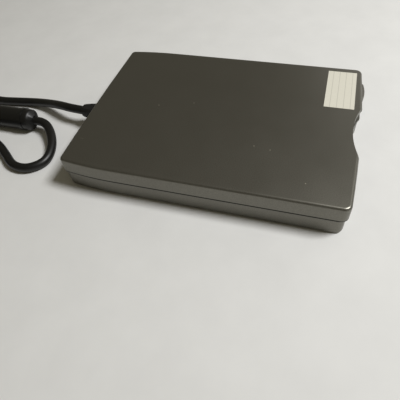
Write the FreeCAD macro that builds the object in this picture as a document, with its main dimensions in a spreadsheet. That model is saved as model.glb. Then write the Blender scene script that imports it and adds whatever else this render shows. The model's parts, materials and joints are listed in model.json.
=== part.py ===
"""External slim floppy disk drive, modelled as the pieces it comes apart into.

Frame: millimetres, Z up, origin on the table under the middle of the case.
The disk goes in at the front (-Y), the cord leaves at the rear (+Y), and
the eject button is at the right (+X) end of the front.
"""
import math
import os

import FreeCAD
import Part
from FreeCAD import Placement, Rotation, Vector
from Sketcher import Constraint

doc = FreeCAD.newDocument("floppy_drive")
sheet = doc.addObject("Spreadsheet::Sheet", "Sizes")


class Size:
    """A length or number that knows its value and its formula in the sheet's names."""

    def __init__(self, value, text):
        self.value = float(value)
        self.text = text

    def _with(self, other, sign, value):
        return Size(value, f"({self.text} {sign} {text_of(other)})")

    def __add__(self, other):
        return self._with(other, "+", self.value + number(other))

    def __sub__(self, other):
        return self._with(other, "-", self.value - number(other))

    def __mul__(self, other):
        return self._with(other, "*", self.value * number(other))

    def __truediv__(self, other):
        return self._with(other, "/", self.value / number(other))

    def __radd__(self, other):
        return as_size(other) + self

    def __rsub__(self, other):
        return as_size(other) - self

    def __rmul__(self, other):
        return as_size(other) * self

    def __neg__(self):
        return Size(-self.value, f"(-{self.text})")


def text_of(item):
    return item.text if isinstance(item, Size) else repr(float(item))


def number(item):
    return item.value if isinstance(item, Size) else float(item)


def as_size(item):
    return item if isinstance(item, Size) else Size(item, repr(float(item)))


def driving(name, value, note):
    """Put one driving dimension in the sheet and return it as a Size."""
    driving.row += 1
    sheet.set(f"A{driving.row}", str(value))
    sheet.setAlias(f"A{driving.row}", name)
    sheet.set(f"B{driving.row}", note)
    return Size(value, f"Sizes.{name}")


driving.row = 0

# Case
CASE_WIDTH = 103.0
CASE_DEPTH = 142.0
CASE_HEIGHT = 18.0
SIDE_WALL = 2.0
ROOF = 1.5
FLOOR_WALL = 1.6
FOOT_HEIGHT = 0.8
PARTING_HEIGHT = 9.45
PARTING_GAP = 0.25
FRONT_BOW = 1.76
REAR_BOW = 0.63
TAPER_START = 42.0
TAPER_INSET = 2.1
FRONT_CORNER = 3.6
REAR_CORNER = 2.6
TOP_EDGE = 1.4
TUCK = 1.0
UNDER_ROUND = 3.6
SIDE_TUCK = 0.25
NOTCH_CENTRE = -0.95
NOTCH_HALF = 18.4
NOTCH_DEPTH = 4.05
FRONT_WALL = 5.4
FIT_GAP = 0.3
PIN_GAP = 0.05
FOOT_RADIUS = 4.0
FOOT_RECESS = 0.6

case_width = driving("case_width", CASE_WIDTH, "case, side to side")
case_depth = driving("case_depth", CASE_DEPTH, "case, front to rear")
case_height = driving("case_height", CASE_HEIGHT, "case with its feet")
side_wall = driving("side_wall", SIDE_WALL, "case walls")
roof = driving("roof", ROOF, "top cover's roof")
floor_wall = driving("floor_wall", FLOOR_WALL, "bottom cover's floor")
foot_height = driving("foot_height", FOOT_HEIGHT, "how far the feet stand out")
parting_height = driving("parting_height", PARTING_HEIGHT, "parting line above the table")
parting_gap = driving("parting_gap", PARTING_GAP, "gap along the parting line")
front_bow = driving("front_bow", FRONT_BOW, "how far the front bows out")
rear_bow = driving("rear_bow", REAR_BOW, "how far the rear bows out")
taper_start = driving("taper_start", TAPER_START, "where the sides start to draw in")
taper_inset = driving("taper_inset", TAPER_INSET, "how far the sides draw in")
front_corner = driving("front_corner", FRONT_CORNER, "front corner radius seen from above")
rear_corner = driving("rear_corner", REAR_CORNER, "rear corner radius seen from above")
top_edge = driving("top_edge", TOP_EDGE, "soft top edge")
tuck = driving("tuck", TUCK, "how far the bottom cover's ends sit back")
under_round = driving("under_round", UNDER_ROUND, "rounding under the bottom cover's ends")
side_tuck = driving("side_tuck", SIDE_TUCK, "how far the bottom cover's sides sit back")
notch_centre = driving("notch_centre", NOTCH_CENTRE, "finger notch, middle")
notch_half = driving("notch_half", NOTCH_HALF, "finger notch, half width at the front")
notch_depth = driving("notch_depth", NOTCH_DEPTH, "finger notch, depth")
front_wall = driving("front_wall", FRONT_WALL, "front wall of the top cover, at its thickest")
fit_gap = driving("fit_gap", FIT_GAP, "clearance between pieces that move past each other")
pin_gap = driving("pin_gap", PIN_GAP, "radial clearance of pins in their holes")
foot_radius = driving("foot_radius", FOOT_RADIUS, "rubber feet")
foot_recess = driving("foot_recess", FOOT_RECESS, "how deep the feet sit in the floor")

# Disk and its way in
DISK_WIDTH = 90.0
DISK_LENGTH = 94.0
DISK_THICK = 3.3
DISK_SEAT = 9.4
DISK_LIFT = 2.0
DISK_FRONT = -62.9
SLOT_HEIGHT = 4.4
SLOT_WIDTH = 93.0

disk_width = driving("disk_width", DISK_WIDTH, "disk, side to side")
disk_length = driving("disk_length", DISK_LENGTH, "disk, front to rear")
disk_thick = driving("disk_thick", DISK_THICK, "disk thickness")
disk_seat = driving("disk_seat", DISK_SEAT, "underside of a loaded disk")
disk_lift = driving("disk_lift", DISK_LIFT, "how far the carrier lifts the disk")
disk_front = driving("disk_front", DISK_FRONT, "front edge of a loaded disk")
slot_height = driving("slot_height", SLOT_HEIGHT, "disk slot height")
slot_width = driving("slot_width", SLOT_WIDTH, "disk slot width")

# Door flap
FLAP_THICK = 0.7
FLAP_DROP = 4.8
FLAP_PIN = 0.6
FLAP_HINGE_DROP = 1.0

flap_thick = driving("flap_thick", FLAP_THICK, "door flap")
flap_drop = driving("flap_drop", FLAP_DROP, "door flap, from its hinge down")
flap_pin = driving("flap_pin", FLAP_PIN, "door flap pin radius")
flap_hinge_drop = driving("flap_hinge_drop", FLAP_HINGE_DROP, "hinge line below the roof")

# Eject button and slider
BUTTON_WIDTH = 14.6
BUTTON_HEIGHT = 5.6
BUTTON_CENTRE = 41.4
BUTTON_LOW = 4.9
BUTTON_PROUD = 2.6
BUTTON_CROWN = 0.9
EJECT_TRAVEL = 4.5
SHEET_THICK = 0.6
SLIDER_HEIGHT = 7.4
SLIDER_ARM = 8.2
SLIDER_FRONT = -49.2
SLIDER_REAR = 28.0
FLANGE_TOP = 14.2
RAMP_GAP = 0.2

button_width = driving("button_width", BUTTON_WIDTH, "eject button width")
button_height = driving("button_height", BUTTON_HEIGHT, "eject button height")
button_centre = driving("button_centre", BUTTON_CENTRE, "eject button, middle")
button_low = driving("button_low", BUTTON_LOW, "eject button, underside")
button_proud = driving("button_proud", BUTTON_PROUD, "how far the button stands out")
button_crown = driving("button_crown", BUTTON_CROWN, "button's convex front")
eject_travel = driving("eject_travel", EJECT_TRAVEL, "eject slider travel")
sheet_thick = driving("sheet_thick", SHEET_THICK, "sheet metal of the moving plates")
slider_height = driving("slider_height", SLIDER_HEIGHT, "eject slider's plate, underside")
slider_arm = driving("slider_arm", SLIDER_ARM, "eject slider's side arm width")
slider_front = driving("slider_front", SLIDER_FRONT, "front edge of the eject slider")
slider_rear = driving("slider_rear", SLIDER_REAR, "rear edge of the eject slider")
flange_top = driving("flange_top", FLANGE_TOP, "top of the slider's side flanges")
ramp_gap = driving("ramp_gap", RAMP_GAP, "lifting pins in their ramp slots")

# Carrier
LIFT_PIN = 0.8
FRONT_PIN = -43.0
REAR_PIN = 16.0
PIN_HEIGHT = 12.4
CARRIER_FRONT = -59.2
CARRIER_REAR = 30.6

lift_pin = driving("lift_pin", LIFT_PIN, "lifting pin radius")
front_pin = driving("front_pin", FRONT_PIN, "front lifting pins")
rear_pin = driving("rear_pin", REAR_PIN, "rear lifting pins")
pin_height = driving("pin_height", PIN_HEIGHT, "lifting pins, carrier raised")
carrier_front = driving("carrier_front", CARRIER_FRONT, "front edge of the carrier")
carrier_rear = driving("carrier_rear", CARRIER_REAR, "rear edge of the carrier")

# Chassis
CHASSIS_THICK = 0.8
CHASSIS_FRONT = -61.0
CHASSIS_REAR = 50.0
CHASSIS_GAP = 0.3
CHASSIS_TOP = 14.6

chassis_thick = driving("chassis_thick", CHASSIS_THICK, "chassis sheet")
chassis_front = driving("chassis_front", CHASSIS_FRONT, "front edge of the chassis")
chassis_rear = driving("chassis_rear", CHASSIS_REAR, "rear edge of the chassis")
chassis_gap = driving("chassis_gap", CHASSIS_GAP, "chassis above the case floor")
chassis_top = driving("chassis_top", CHASSIS_TOP, "top of the chassis walls")

# Spindle
SPINDLE_BACK = -9.0
ROTOR_RADIUS = 19.0
SHAFT_RADIUS = 1.5
SHAFT_GAP = 0.03
CHUCK_RADIUS = 12.5

spindle_back = driving("spindle_back", SPINDLE_BACK, "spindle, behind the case middle")
rotor_radius = driving("rotor_radius", ROTOR_RADIUS, "rotor")
shaft_radius = driving("shaft_radius", SHAFT_RADIUS, "spindle shaft")
shaft_gap = driving("shaft_gap", SHAFT_GAP, "spindle shaft in its bearing")
chuck_radius = driving("chuck_radius", CHUCK_RADIUS, "chuck plate")

# Head carriage
TRACK_TRAVEL = 15.0
HEAD_REST = 30.5
ROD_SIDE = -9.0
SCREW_SIDE = 13.0
DRIVE_HEIGHT = 6.1
ROD_RADIUS = 1.0
SCREW_RADIUS = 1.2
SCREW_PITCH = 3.0
ARM_RAISE = 11.0
ARM_PIN = 0.7
ARM_LENGTH = 16.0
STEPPER_FRONT = 40.9
STEPPER_RADIUS = 2.55
STEPPER_LENGTH = 8.5

track_travel = driving("track_travel", TRACK_TRAVEL, "head travel, outer to inner track")
head_rest = driving("head_rest", HEAD_REST, "heads at the outer track")
rod_side = driving("rod_side", ROD_SIDE, "guide rod")
screw_side = driving("screw_side", SCREW_SIDE, "lead screw")
drive_height = driving("drive_height", DRIVE_HEIGHT, "guide rod and lead screw above the table")
rod_radius = driving("rod_radius", ROD_RADIUS, "guide rod radius")
screw_radius = driving("screw_radius", SCREW_RADIUS, "lead screw radius")
screw_pitch = driving("screw_pitch", SCREW_PITCH, "lead screw pitch")
arm_raise = driving("arm_raise", ARM_RAISE, "upper arm's angle, raised, degrees")
arm_pin = driving("arm_pin", ARM_PIN, "upper arm's pivot pin radius")
arm_length = driving("arm_length", ARM_LENGTH, "upper arm, pivot to head")
stepper_front = driving("stepper_front", STEPPER_FRONT, "stepper motor's front face")
stepper_radius = driving("stepper_radius", STEPPER_RADIUS, "stepper motor can")
stepper_length = driving("stepper_length", STEPPER_LENGTH, "stepper motor can, length")

# Cord
CORD_DIAMETER = 5.0
CORD_SIDE = -2.0
CORD_HEIGHT = 10.5
RELIEF_LENGTH = 11.0
CHOKE_RADIUS = 6.5
COIL_RADIUS = 30.5
COIL_PITCH = 5.5
COIL_TURNS = 3

cord_diameter = driving("cord_diameter", CORD_DIAMETER, "cord")
cord_side = driving("cord_side", CORD_SIDE, "where the cord leaves, side to side")
cord_height = driving("cord_height", CORD_HEIGHT, "where the cord leaves, above the table")
relief_length = driving("relief_length", RELIEF_LENGTH, "strain relief outside the case")
choke_radius = driving("choke_radius", CHOKE_RADIUS, "ferrite choke")
coil_radius = driving("coil_radius", COIL_RADIUS, "coil, outer turn's centre line")
coil_pitch = driving("coil_pitch", COIL_PITCH, "coil, turn to turn and layer to layer")
coil_turns = driving("coil_turns", COIL_TURNS, "turns in the coil")

# Latch lever, label, switches and interface board
LATCH_X = 33.0
LATCH_Y = 22.5
LATCH_ARM = 22.0
LATCH_PIN = 1.0
LATCH_START = 216.0
LABEL_INSET = 4.3
LABEL_FROM_FRONT = 4.3
LABEL_LENGTH = 32.4
LABEL_DEPTH = 15.2
LABEL_THICK = 0.1
PLUNGER_RADIUS = 0.8
BOARD_HALF = 39.5
BOARD_THICK = 1.0

latch_x = driving("latch_x", LATCH_X, "latch lever's pivot, side to side")
latch_y = driving("latch_y", LATCH_Y, "latch lever's pivot, front to rear")
latch_arm = driving("latch_arm", LATCH_ARM, "latch lever, pivot to roller")
latch_pin = driving("latch_pin", LATCH_PIN, "latch lever's pivot pin radius")
latch_start = driving("latch_start", LATCH_START, "latch lever's angle with no disk, degrees")
label_inset = driving("label_inset", LABEL_INSET, "paper label, in from the side")
label_from_front = driving("label_from_front", LABEL_FROM_FRONT, "paper label, back from the front")
label_length = driving("label_length", LABEL_LENGTH, "paper label, side to side")
label_depth = driving("label_depth", LABEL_DEPTH, "paper label, front to rear")
label_thick = driving("label_thick", LABEL_THICK, "paper label")
plunger_radius = driving("plunger_radius", PLUNGER_RADIUS, "switch plungers")
board_half = driving("board_half", BOARD_HALF, "interface board, half width")
board_thick = driving("board_thick", BOARD_THICK, "interface board")

# Lesser sizes of single features
relief_half = 4.1
relief_rise = 3.2
relief_off_wall = 0.05
relief_edge = 0.8
relief_base_half = 4.9
relief_base_rise = 3.9
relief_collar = 1.6
relief_waist_half = 4.7
relief_waist_rise = 3.7
relief_tip_side = 0.9
relief_tip_rise = 0.7
neck_half = 3.8
neck_rise = 2.9
neck_length = 4.6
flange_side = 5.5
flange_rise = 3.7
flange_thick = 1.4
flange_depth = 4.6
flange_overlap = 0.3
screw_inset = 6.5
screw_from_rear = 11.0
foot_inset = 11.5
foot_from_end = 15.0
lens_inset = 11.5
lens_z = 7.2
lens_opening_half = 2.6
lens_opening_rise = 0.8
cover_boss_radius = 2.8
cover_pilot_radius = 1.2
shell_boss_radius = 3.6
counterbore_radius = 2.75
screw_hole_radius = 1.4
chassis_pad_radius = 3.2
chassis_pilot_radius = 0.95
board_post_radius = 2.2
hook_starts = (-32.0, 24.0)
hook_length = 7.0
hook_drop = 3.0
hook_height = 8.0
screw_head_radius = 2.5
screw_head_height = 1.3
screw_shank_radius = 1.15
screw_shank_length = 9.5
frame_screw_head_radius = 2.2
frame_screw_shank_radius = 0.9
tray_sheet = 0.5
tray_lip = 2.6
lever_hub = 2.6
lever_tip = 1.6
lever_thick = 0.5
roller_radius = 1.0
stator_count = 9
stator_ring = 12.8
stator_coil_radius = 3.9
stator_eye_radius = 1.7
stator_coil_height = 0.9
motor_board_half = 29.0
motor_board_thick = 0.8
bearing_radius = 3.5
choke_side = -13.5
choke_middle_height = 6.5
choke_front = 110.0
choke_rear = 144.5
choke_ring_height = 0.3
choke_ring_start = 6.0
choke_ring_end = 8.5
grip_length = 24.0
grip_half = 8.0
grip_rise = 3.9
plug_shell_length = 12.0
plug_shell_width = 12.0
plug_shell_height = 4.5
plug_shell_wall = 0.3
spring_x = -40.0
flap_spring_radius = 0.8
flap_spring_wire = 0.16
flap_spring_pitch = 0.75
flap_spring_turns = 3
slider_spring_side = 41.0
slider_spring_start = -34.0
slider_spring_height = 5.6
slider_spring_radius = 1.1
slider_spring_wire = 0.25
slider_spring_pitch = 2.4
slider_spring_turns = 7

# Heights and faces worked out from them
half_width = case_width / 2
front_face = -(case_depth / 2)
rear_face = case_depth / 2
floor_top = foot_height + floor_wall
roof_under = case_height - roof
slot_low = disk_seat + disk_lift - 0.5
slot_top = slot_low + slot_height
chassis_low = floor_top + chassis_gap
chassis_floor = chassis_low + chassis_thick
carrier_half = disk_width / 2 + 0.35
flange_half = carrier_half + sheet_thick + fit_gap
wall_half = flange_half + sheet_thick + fit_gap
disk_rest = disk_seat + disk_lift
carrier_under = disk_rest + disk_thick + 0.25

# Places worked out from the sizes
screw_x = half_width - screw_inset
screw_y = rear_face - screw_from_rear
screw_spots = [(-screw_x, screw_y), (screw_x, screw_y)]
screw_seat = floor_top + 0.8
boss_split = parting_height - 1.5
foot_x, foot_y = half_width - foot_inset, rear_face - foot_from_end
foot_spots = [(x, y) for x in (-foot_x, foot_x) for y in (-foot_y, foot_y)]
relief_low = cord_height - relief_rise
relief_high = cord_height + relief_rise
button_top = button_low + button_height
label_left = half_width - label_inset - label_length
label_front = front_face + label_from_front
lens_x = -half_width + lens_inset
button_room = [(button_centre - button_width / 2 - fit_gap, button_low - fit_gap),
               (button_centre + button_width / 2 + fit_gap, button_low - fit_gap),
               (button_centre + button_width / 2 + fit_gap, button_top + fit_gap),
               (button_centre - button_width / 2 - fit_gap, button_top + fit_gap)]
hinge_y = front_face + front_wall + flap_thick / 2 + 0.65
hinge_z = roof_under - flap_hinge_drop
flap_half = slot_width / 2 + 0.3
ear_in = flap_half + 0.35
chassis_spots = [(x, y) for x in (-42.0, 42.0) for y in (-46.0, 40.0)]
board_low = floor_top + 1.2
board_front = chassis_rear + 1.6
board_rear = rear_face - tuck - side_wall - 0.6
board_rows = (board_front + 3.5, board_rear - 3.5)
board_spots = [(x, y) for x in (-board_half + 4, board_half - 4) for y in board_rows]
arm_y = head_rest + arm_length
arm_z = disk_seat + 3.1
switch_top = disk_seat - 1.2
switch_spots = [("write_protect", -41.5, -56.5), ("disk_in", -33.0, -56.5), ("density", 41.5, -56.5)]

doc.recompute()
nodes = []


def bind(item, prop, size):
    """Tie a property to its formula, or just set a plain number."""
    if isinstance(size, Size):
        item.setExpression(prop, size.text)
    else:
        setattr(item, prop, size)


def place(item, x=0.0, y=0.0, z=0.0):
    """Put an object at x, y, z, each tied to the sheet where it is a Size."""
    item.Placement.Base = Vector(number(x), number(y), number(z))
    for axis, size in (("x", x), ("y", y), ("z", z)):
        if isinstance(size, Size):
            item.setExpression(f"Placement.Base.{axis}", size.text)


def block(name, x0, x1, y0, y1, z0, z1):
    """A box between two corners."""
    item = doc.addObject("Part::Box", name)
    item.Label = name
    bind(item, "Length", as_size(x1) - x0)
    bind(item, "Width", as_size(y1) - y0)
    bind(item, "Height", as_size(z1) - z0)
    place(item, x0, y0, z0)
    return item


TURNS = {"z": Rotation(), "y": Rotation(Vector(1, 0, 0), -90), "x": Rotation(Vector(0, 1, 0), 90)}


def rod(name, x, y, z, radius, length, axis="z"):
    """A cylinder from x, y, z along an axis."""
    item = doc.addObject("Part::Cylinder", name)
    item.Label = name
    bind(item, "Radius", as_size(radius))
    bind(item, "Height", as_size(length))
    item.Placement = Placement(Vector(), TURNS[axis])
    place(item, x, y, z)
    return item


def cut(name, base, *tools):
    """The base less its tools."""
    tool = tools[0]
    if len(tools) > 1:
        tool = fuse(name + "_tools", *tools)
    item = doc.addObject("Part::Cut", name)
    item.Base = base
    item.Tool = tool
    item.Label = name
    return item


def fuse(name, *items):
    """Several solids made one."""
    item = doc.addObject("Part::MultiFuse", name)
    item.Shapes = list(items)
    item.Refine = True
    item.Label = name
    return item


def group(name, *items):
    """Separate solids kept under one name."""
    item = doc.addObject("Part::Compound", name)
    item.Links = list(items)
    item.Label = name
    return item


def node(item, label=None):
    """Name a finished piece and keep it for writing."""
    if label:
        item.Label = label
    nodes.append(item)
    return item


def shaped(name, shape, placement=None):
    """A piece whose shape is swept by hand."""
    item = doc.addObject("Part::Feature", name)
    item.Label = name
    item.Shape = shape
    if placement:
        item.Placement = placement
    return item


def new_body(name):
    body = doc.addObject("PartDesign::Body", name)
    body.Label = name
    return body


def origin_plane(body, role):
    return [f for f in body.Origin.OriginFeatures if f.Role == role][0]


def new_sketch(body, name, role="XY_Plane", lift=0.0):
    """An empty sketch on one of the body's own planes, lifted along its normal."""
    sketch = body.newObject("Sketcher::SketchObject", name)
    sketch.AttachmentSupport = [(origin_plane(body, role), "")]
    sketch.MapMode = "FlatFace"
    if isinstance(lift, Size):
        sketch.setExpression("AttachmentOffset.Base.z", lift.text)
    else:
        sketch.AttachmentOffset = Placement(Vector(0, 0, lift), Rotation())
    return sketch


def draw(sketch, outline):
    """Draw a closed outline: points, with ("arc", bulge) between two of them.

    Every corner is tied to its formula. A bulge is the arc's rise above its
    chord, to the right of the way the outline runs.
    """
    corners = [item for item in outline if item[0] != "arc"]
    bulges = {}
    count = -1
    for item in outline:
        if item[0] == "arc":
            bulges[count] = item[1]
        else:
            count += 1
    spots = [Vector(number(x), number(y), 0) for x, y in corners]
    total = len(spots)
    first = sketch.GeometryCount
    for index in range(total):
        start, end = spots[index], spots[(index + 1) % total]
        if index in bulges:
            rise = number(bulges[index])
            chord = end - start
            side = Vector(chord.y, -chord.x, 0).normalize()
            crown = (start + end) * 0.5 + side * rise
            ends = (start, end) if rise > 0 else (end, start)
            sketch.addGeometry(Part.Arc(ends[0], crown, ends[1]))
        else:
            sketch.addGeometry(Part.LineSegment(start, end))
    return first, corners, bulges, spots


def pin_down(sketch, first, corners, bulges, spots):
    """Join the outline's pieces and tie each corner and arc to its formula."""
    total = len(spots)
    ends = []
    for index in range(total):
        turned = index in bulges and number(bulges[index]) < 0
        ends.append((2, 1) if turned else (1, 2))
    for index in range(total):
        following = (index + 1) % total
        sketch.addConstraint(Constraint("Coincident", first + index, ends[index][1],
                                        first + following, ends[following][0]))
    for index, (x, y) in enumerate(corners):
        for kind, size in (("DistanceX", x), ("DistanceY", y)):
            mark = sketch.addConstraint(Constraint(kind, -1, 1, first + index, ends[index][0], number(size)))
            if isinstance(size, Size):
                sketch.setExpression(f"Constraints[{mark}]", size.text)
    for index, rise in bulges.items():
        chord = spots[(index + 1) % total] - spots[index]
        half = chord.Length / 2
        radius = (half * half + number(rise) ** 2) / (2 * abs(number(rise)))
        if abs(number(rise)) < half * 0.99:
            sketch.addConstraint(Constraint("Radius", first + index, radius))
        else:
            centre = (spots[index] + spots[(index + 1) % total]) * 0.5
            along_x = abs(chord.y) > abs(chord.x)
            kind, place_on = ("DistanceX", centre.x) if along_x else ("DistanceY", centre.y)
            sketch.addConstraint(Constraint(kind, -1, 1, first + index, 3, place_on))


def outline(sketch, points):
    pin_down(sketch, *draw(sketch, points))


def rectangle(x0, x1, y0, y1):
    return [(x0, y0), (x1, y0), (x1, y1), (x0, y1)]


def pad(body, sketch, length, name, reverse=False):
    feature = body.newObject("PartDesign::Pad", name)
    feature.Profile = sketch
    bind(feature, "Length", as_size(length))
    feature.Reversed = reverse
    return feature


def pocket(body, sketch, length, name, reverse=False):
    feature = body.newObject("PartDesign::Pocket", name)
    feature.Profile = sketch
    bind(feature, "Length", as_size(length))
    feature.Reversed = reverse
    return feature


def round_edges(body, feature, wanted, radius, name, kind="PartDesign::Fillet"):
    """Fillet or chamfer the edges of a feature that pass a test."""
    doc.recompute()
    names = [f"Edge{i + 1}" for i, edge in enumerate(feature.Shape.Edges) if wanted(edge)]
    item = body.newObject(kind, name)
    item.Base = (feature, names)
    prop = "Radius" if kind.endswith("Fillet") else "Size"
    bind(item, prop, as_size(radius))
    return item


def upright(edge):
    if len(edge.Vertexes) != 2:
        return False
    a, b = edge.Vertexes[0].Point, edge.Vertexes[1].Point
    return abs(a.x - b.x) < 1e-4 and abs(a.y - b.y) < 1e-4


def circle(sketch, x, y, radius):
    spot = Vector(number(x), number(y), 0)
    index = sketch.addGeometry(Part.Circle(spot, Vector(0, 0, 1), number(radius)))
    for kind, size in (("DistanceX", x), ("DistanceY", y)):
        mark = sketch.addConstraint(Constraint(kind, -1, 1, index, 3, number(size)))
        if isinstance(size, Size):
            sketch.setExpression(f"Constraints[{mark}]", size.text)
    mark = sketch.addConstraint(Constraint("Radius", index, number(radius)))
    if isinstance(radius, Size):
        sketch.setExpression(f"Constraints[{mark}]", radius.text)


def case_plan(side, end):
    """The case seen from above, drawn in by a side and an end distance."""
    w = half_width - side
    front = front_face + front_bow + end
    rear = rear_face - rear_bow - end
    return [(-w, front), ("arc", front_bow), (w, front), (w, taper_start), ("arc", taper_inset / 4),
            (w - taper_inset, rear), ("arc", rear_bow), (-w + taper_inset, rear),
            ("arc", taper_inset / 4), (-w, taper_start)]


def cavity_plan(end):
    """The hollow inside the case, seen from above, with its rear wall's place."""
    w = half_width - side_wall
    front = front_face + front_wall
    rear = rear_face - end
    return [(-w, front), (w, front), (w, taper_start), ("arc", taper_inset / 4), (w - taper_inset, rear),
            (-w + taper_inset, rear), ("arc", taper_inset / 4), (-w, taper_start)]


def notch_plan():
    """The finger notch in the front edge, seen from above."""
    start = front_face + 0.35
    left, right = notch_centre - notch_half, notch_centre + notch_half
    return [(left, front_face - 3), (right, front_face - 3), (right, start),
            ("arc", notch_depth - 0.35), (left, start)]


def at_corner(edge, rear):
    """Whether an upright edge is one of the case's front or rear corners."""
    spot = edge.Vertexes[0].Point
    if not upright(edge) or abs(spot.x) < number(half_width) * 0.9:
        return False
    return spot.y > number(taper_start) + 5 if rear else spot.y < number(front_face) + 5


def round_corners(body, feature, name):
    front = round_edges(body, feature, lambda e: at_corner(e, False), front_corner, name + "_front_corners")
    return round_edges(body, front, lambda e: at_corner(e, True), rear_corner, name + "_rear_corners")


def cut_out(body, name, points, role, lift, depth, reverse=False):
    """A pocket of a closed outline on one of the body's planes."""
    sketch = new_sketch(body, name + "_outline", role, lift)
    outline(sketch, points)
    return pocket(body, sketch, depth, name, reverse)


def drill(body, name, spots, radius, role, lift, depth, reverse=False):
    """Round holes, all of one depth."""
    sketch = new_sketch(body, name + "_holes", role, lift)
    for x, y in spots:
        circle(sketch, x, y, radius)
    return pocket(body, sketch, depth, name, reverse)


def boss(body, name, spots, radius, low, high):
    """Round bosses standing between two heights."""
    sketch = new_sketch(body, name + "_rings", "XY_Plane", low)
    for x, y in spots:
        circle(sketch, x, y, radius)
    return pad(body, sketch, high - low, name)


def top_cover():
    """Moulded upper shell: roof, side walls, thick front with the disk slot, finger notch."""
    body = new_body("top_cover")
    low = parting_height + parting_gap / 2
    sketch = new_sketch(body, "cover_plan", "XY_Plane", low)
    outline(sketch, case_plan(0.0, 0.0))
    blank = pad(body, sketch, case_height - low, "cover_blank")
    rounded = round_corners(body, blank, "cover")
    top = number(case_height)
    soft = round_edges(body, rounded, lambda e: e.BoundBox.ZMin > top - 1e-4, top_edge, "cover_soft_edge")
    cut_out(body, "cover_hollow", cavity_plan(side_wall), "XY_Plane", low, roof_under - low, True)
    ears = new_sketch(body, "ear_outline", "XY_Plane", hinge_z - 1.5)
    for side in (-1, 1):
        inner, outer = side * ear_in, side * (half_width - side_wall + 0.2)
        left, right = (inner, outer) if side > 0 else (outer, inner)
        outline(ears, rectangle(left, right, hinge_y - 1.3, hinge_y + 1.3))
    pad(body, ears, roof_under - hinge_z + 1.7, "flap_ears")
    holes = new_sketch(body, "ear_holes", "YZ_Plane", -half_width + side_wall + 0.2)
    circle(holes, hinge_y, hinge_z, flap_pin + pin_gap)
    pocket(body, holes, case_width - side_wall * 2 - 0.4, "ear_bores", True)
    boss(body, "cover_bosses", screw_spots, cover_boss_radius, boss_split + 0.15, roof_under + 0.2)
    drill(body, "cover_pilots", screw_spots, cover_pilot_radius, "XY_Plane", boss_split + 0.15, 6.5, True)
    hooks = new_sketch(body, "hook_outline", "XY_Plane", parting_height - hook_drop)
    for side in (-1, 1):
        for start in hook_starts:
            near, far = side * (half_width - side_wall - 0.9), side * (half_width - side_wall - 0.1)
            left, right = (near, far) if side > 0 else (far, near)
            outline(hooks, rectangle(left, right, start, start + hook_length))
    pad(body, hooks, hook_height, "snap_hooks")
    webs = new_sketch(body, "web_outline", "XY_Plane", parting_height + 2.0)
    for side in (-1, 1):
        for start in hook_starts:
            near, far = side * (half_width - side_wall - 0.9), side * (half_width - side_wall + 0.2)
            left, right = (near, far) if side > 0 else (far, near)
            outline(webs, rectangle(left, right, start, start + hook_length))
    pad(body, webs, 3.0, "hook_webs")
    slot_side = slot_width / 2
    slot = [(-slot_side, slot_low), (slot_side, slot_low), (slot_side, slot_top), (-slot_side, slot_top)]
    cut_out(body, "disk_slot", slot, "XZ_Plane", -front_face + 1, front_wall + 2)
    cut_out(body, "button_opening", button_room, "XZ_Plane", -front_face + 1, front_wall + 2)
    relief = rectangle(cord_side - relief_half, cord_side + relief_half, relief_low, relief_high)
    cut_out(body, "relief_opening", relief, "XZ_Plane", -rear_face + side_wall + 1, side_wall + 3)
    notch = cut_out(body, "finger_notch", notch_plan(), "XY_Plane", case_height + 1, case_height + 2)
    body.Tip = notch
    return node(body)


def bottom_cover():
    """Moulded lower shell with tucked, rounded ends, posts and the finger notch."""
    body = new_body("bottom_cover")
    high = parting_height - parting_gap / 2
    sketch = new_sketch(body, "shell_plan", "XY_Plane", foot_height)
    outline(sketch, case_plan(side_tuck, tuck))
    blank = pad(body, sketch, high - foot_height, "shell_blank")
    round_corners(body, blank, "shell")
    for name, face, way in (("front_under", front_face + tuck, 1), ("rear_under", rear_face - tuck, -1)):
        far = face + under_round * way
        under = [(far, foot_height - 1), (far, foot_height), ("arc", (under_round * 0.2929) * -way),
                 (face, foot_height + under_round), (face - way * 3, foot_height + under_round),
                 (face - way * 3, foot_height - 1)]
        cut_out(body, name, under, "YZ_Plane", -half_width, case_width, True)
    cut_out(body, "shell_hollow", cavity_plan(tuck + side_wall), "XY_Plane", high, high - floor_top)
    drill(body, "foot_recesses", foot_spots, foot_radius, "XY_Plane", foot_height, foot_recess, True)
    boss(body, "shell_bosses", screw_spots, shell_boss_radius, floor_top - 0.2, boss_split - 0.15)
    drill(body, "shell_counterbores", screw_spots, counterbore_radius, "XY_Plane", foot_height,
          screw_seat - foot_height, True)
    drill(body, "shell_screw_holes", screw_spots, screw_hole_radius, "XY_Plane", foot_height, 9.0, True)
    boss(body, "chassis_pads", chassis_spots, chassis_pad_radius, floor_top - 0.2, chassis_low)
    drill(body, "chassis_pilots", chassis_spots, chassis_pilot_radius, "XY_Plane", chassis_low, 1.0)
    boss(body, "board_posts", board_spots, board_post_radius, floor_top - 0.2, board_low)
    cut_out(body, "button_clearance", button_room, "XZ_Plane", -front_face + 1, front_wall + 2)
    relief = rectangle(cord_side - relief_half, cord_side + relief_half, relief_low, relief_high)
    cut_out(body, "relief_clearance", relief, "XZ_Plane", -rear_face + side_wall + 2, side_wall + 3)
    lens = rectangle(lens_x - lens_opening_half, lens_x + lens_opening_half, lens_z - lens_opening_rise,
                     lens_z + lens_opening_rise)
    cut_out(body, "lens_opening", lens, "XZ_Plane", -front_face + 1, front_wall + 2)
    cut_out(body, "shell_notch", notch_plan(), "XY_Plane", case_height + 1, case_height + 2)
    return node(body)


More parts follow.
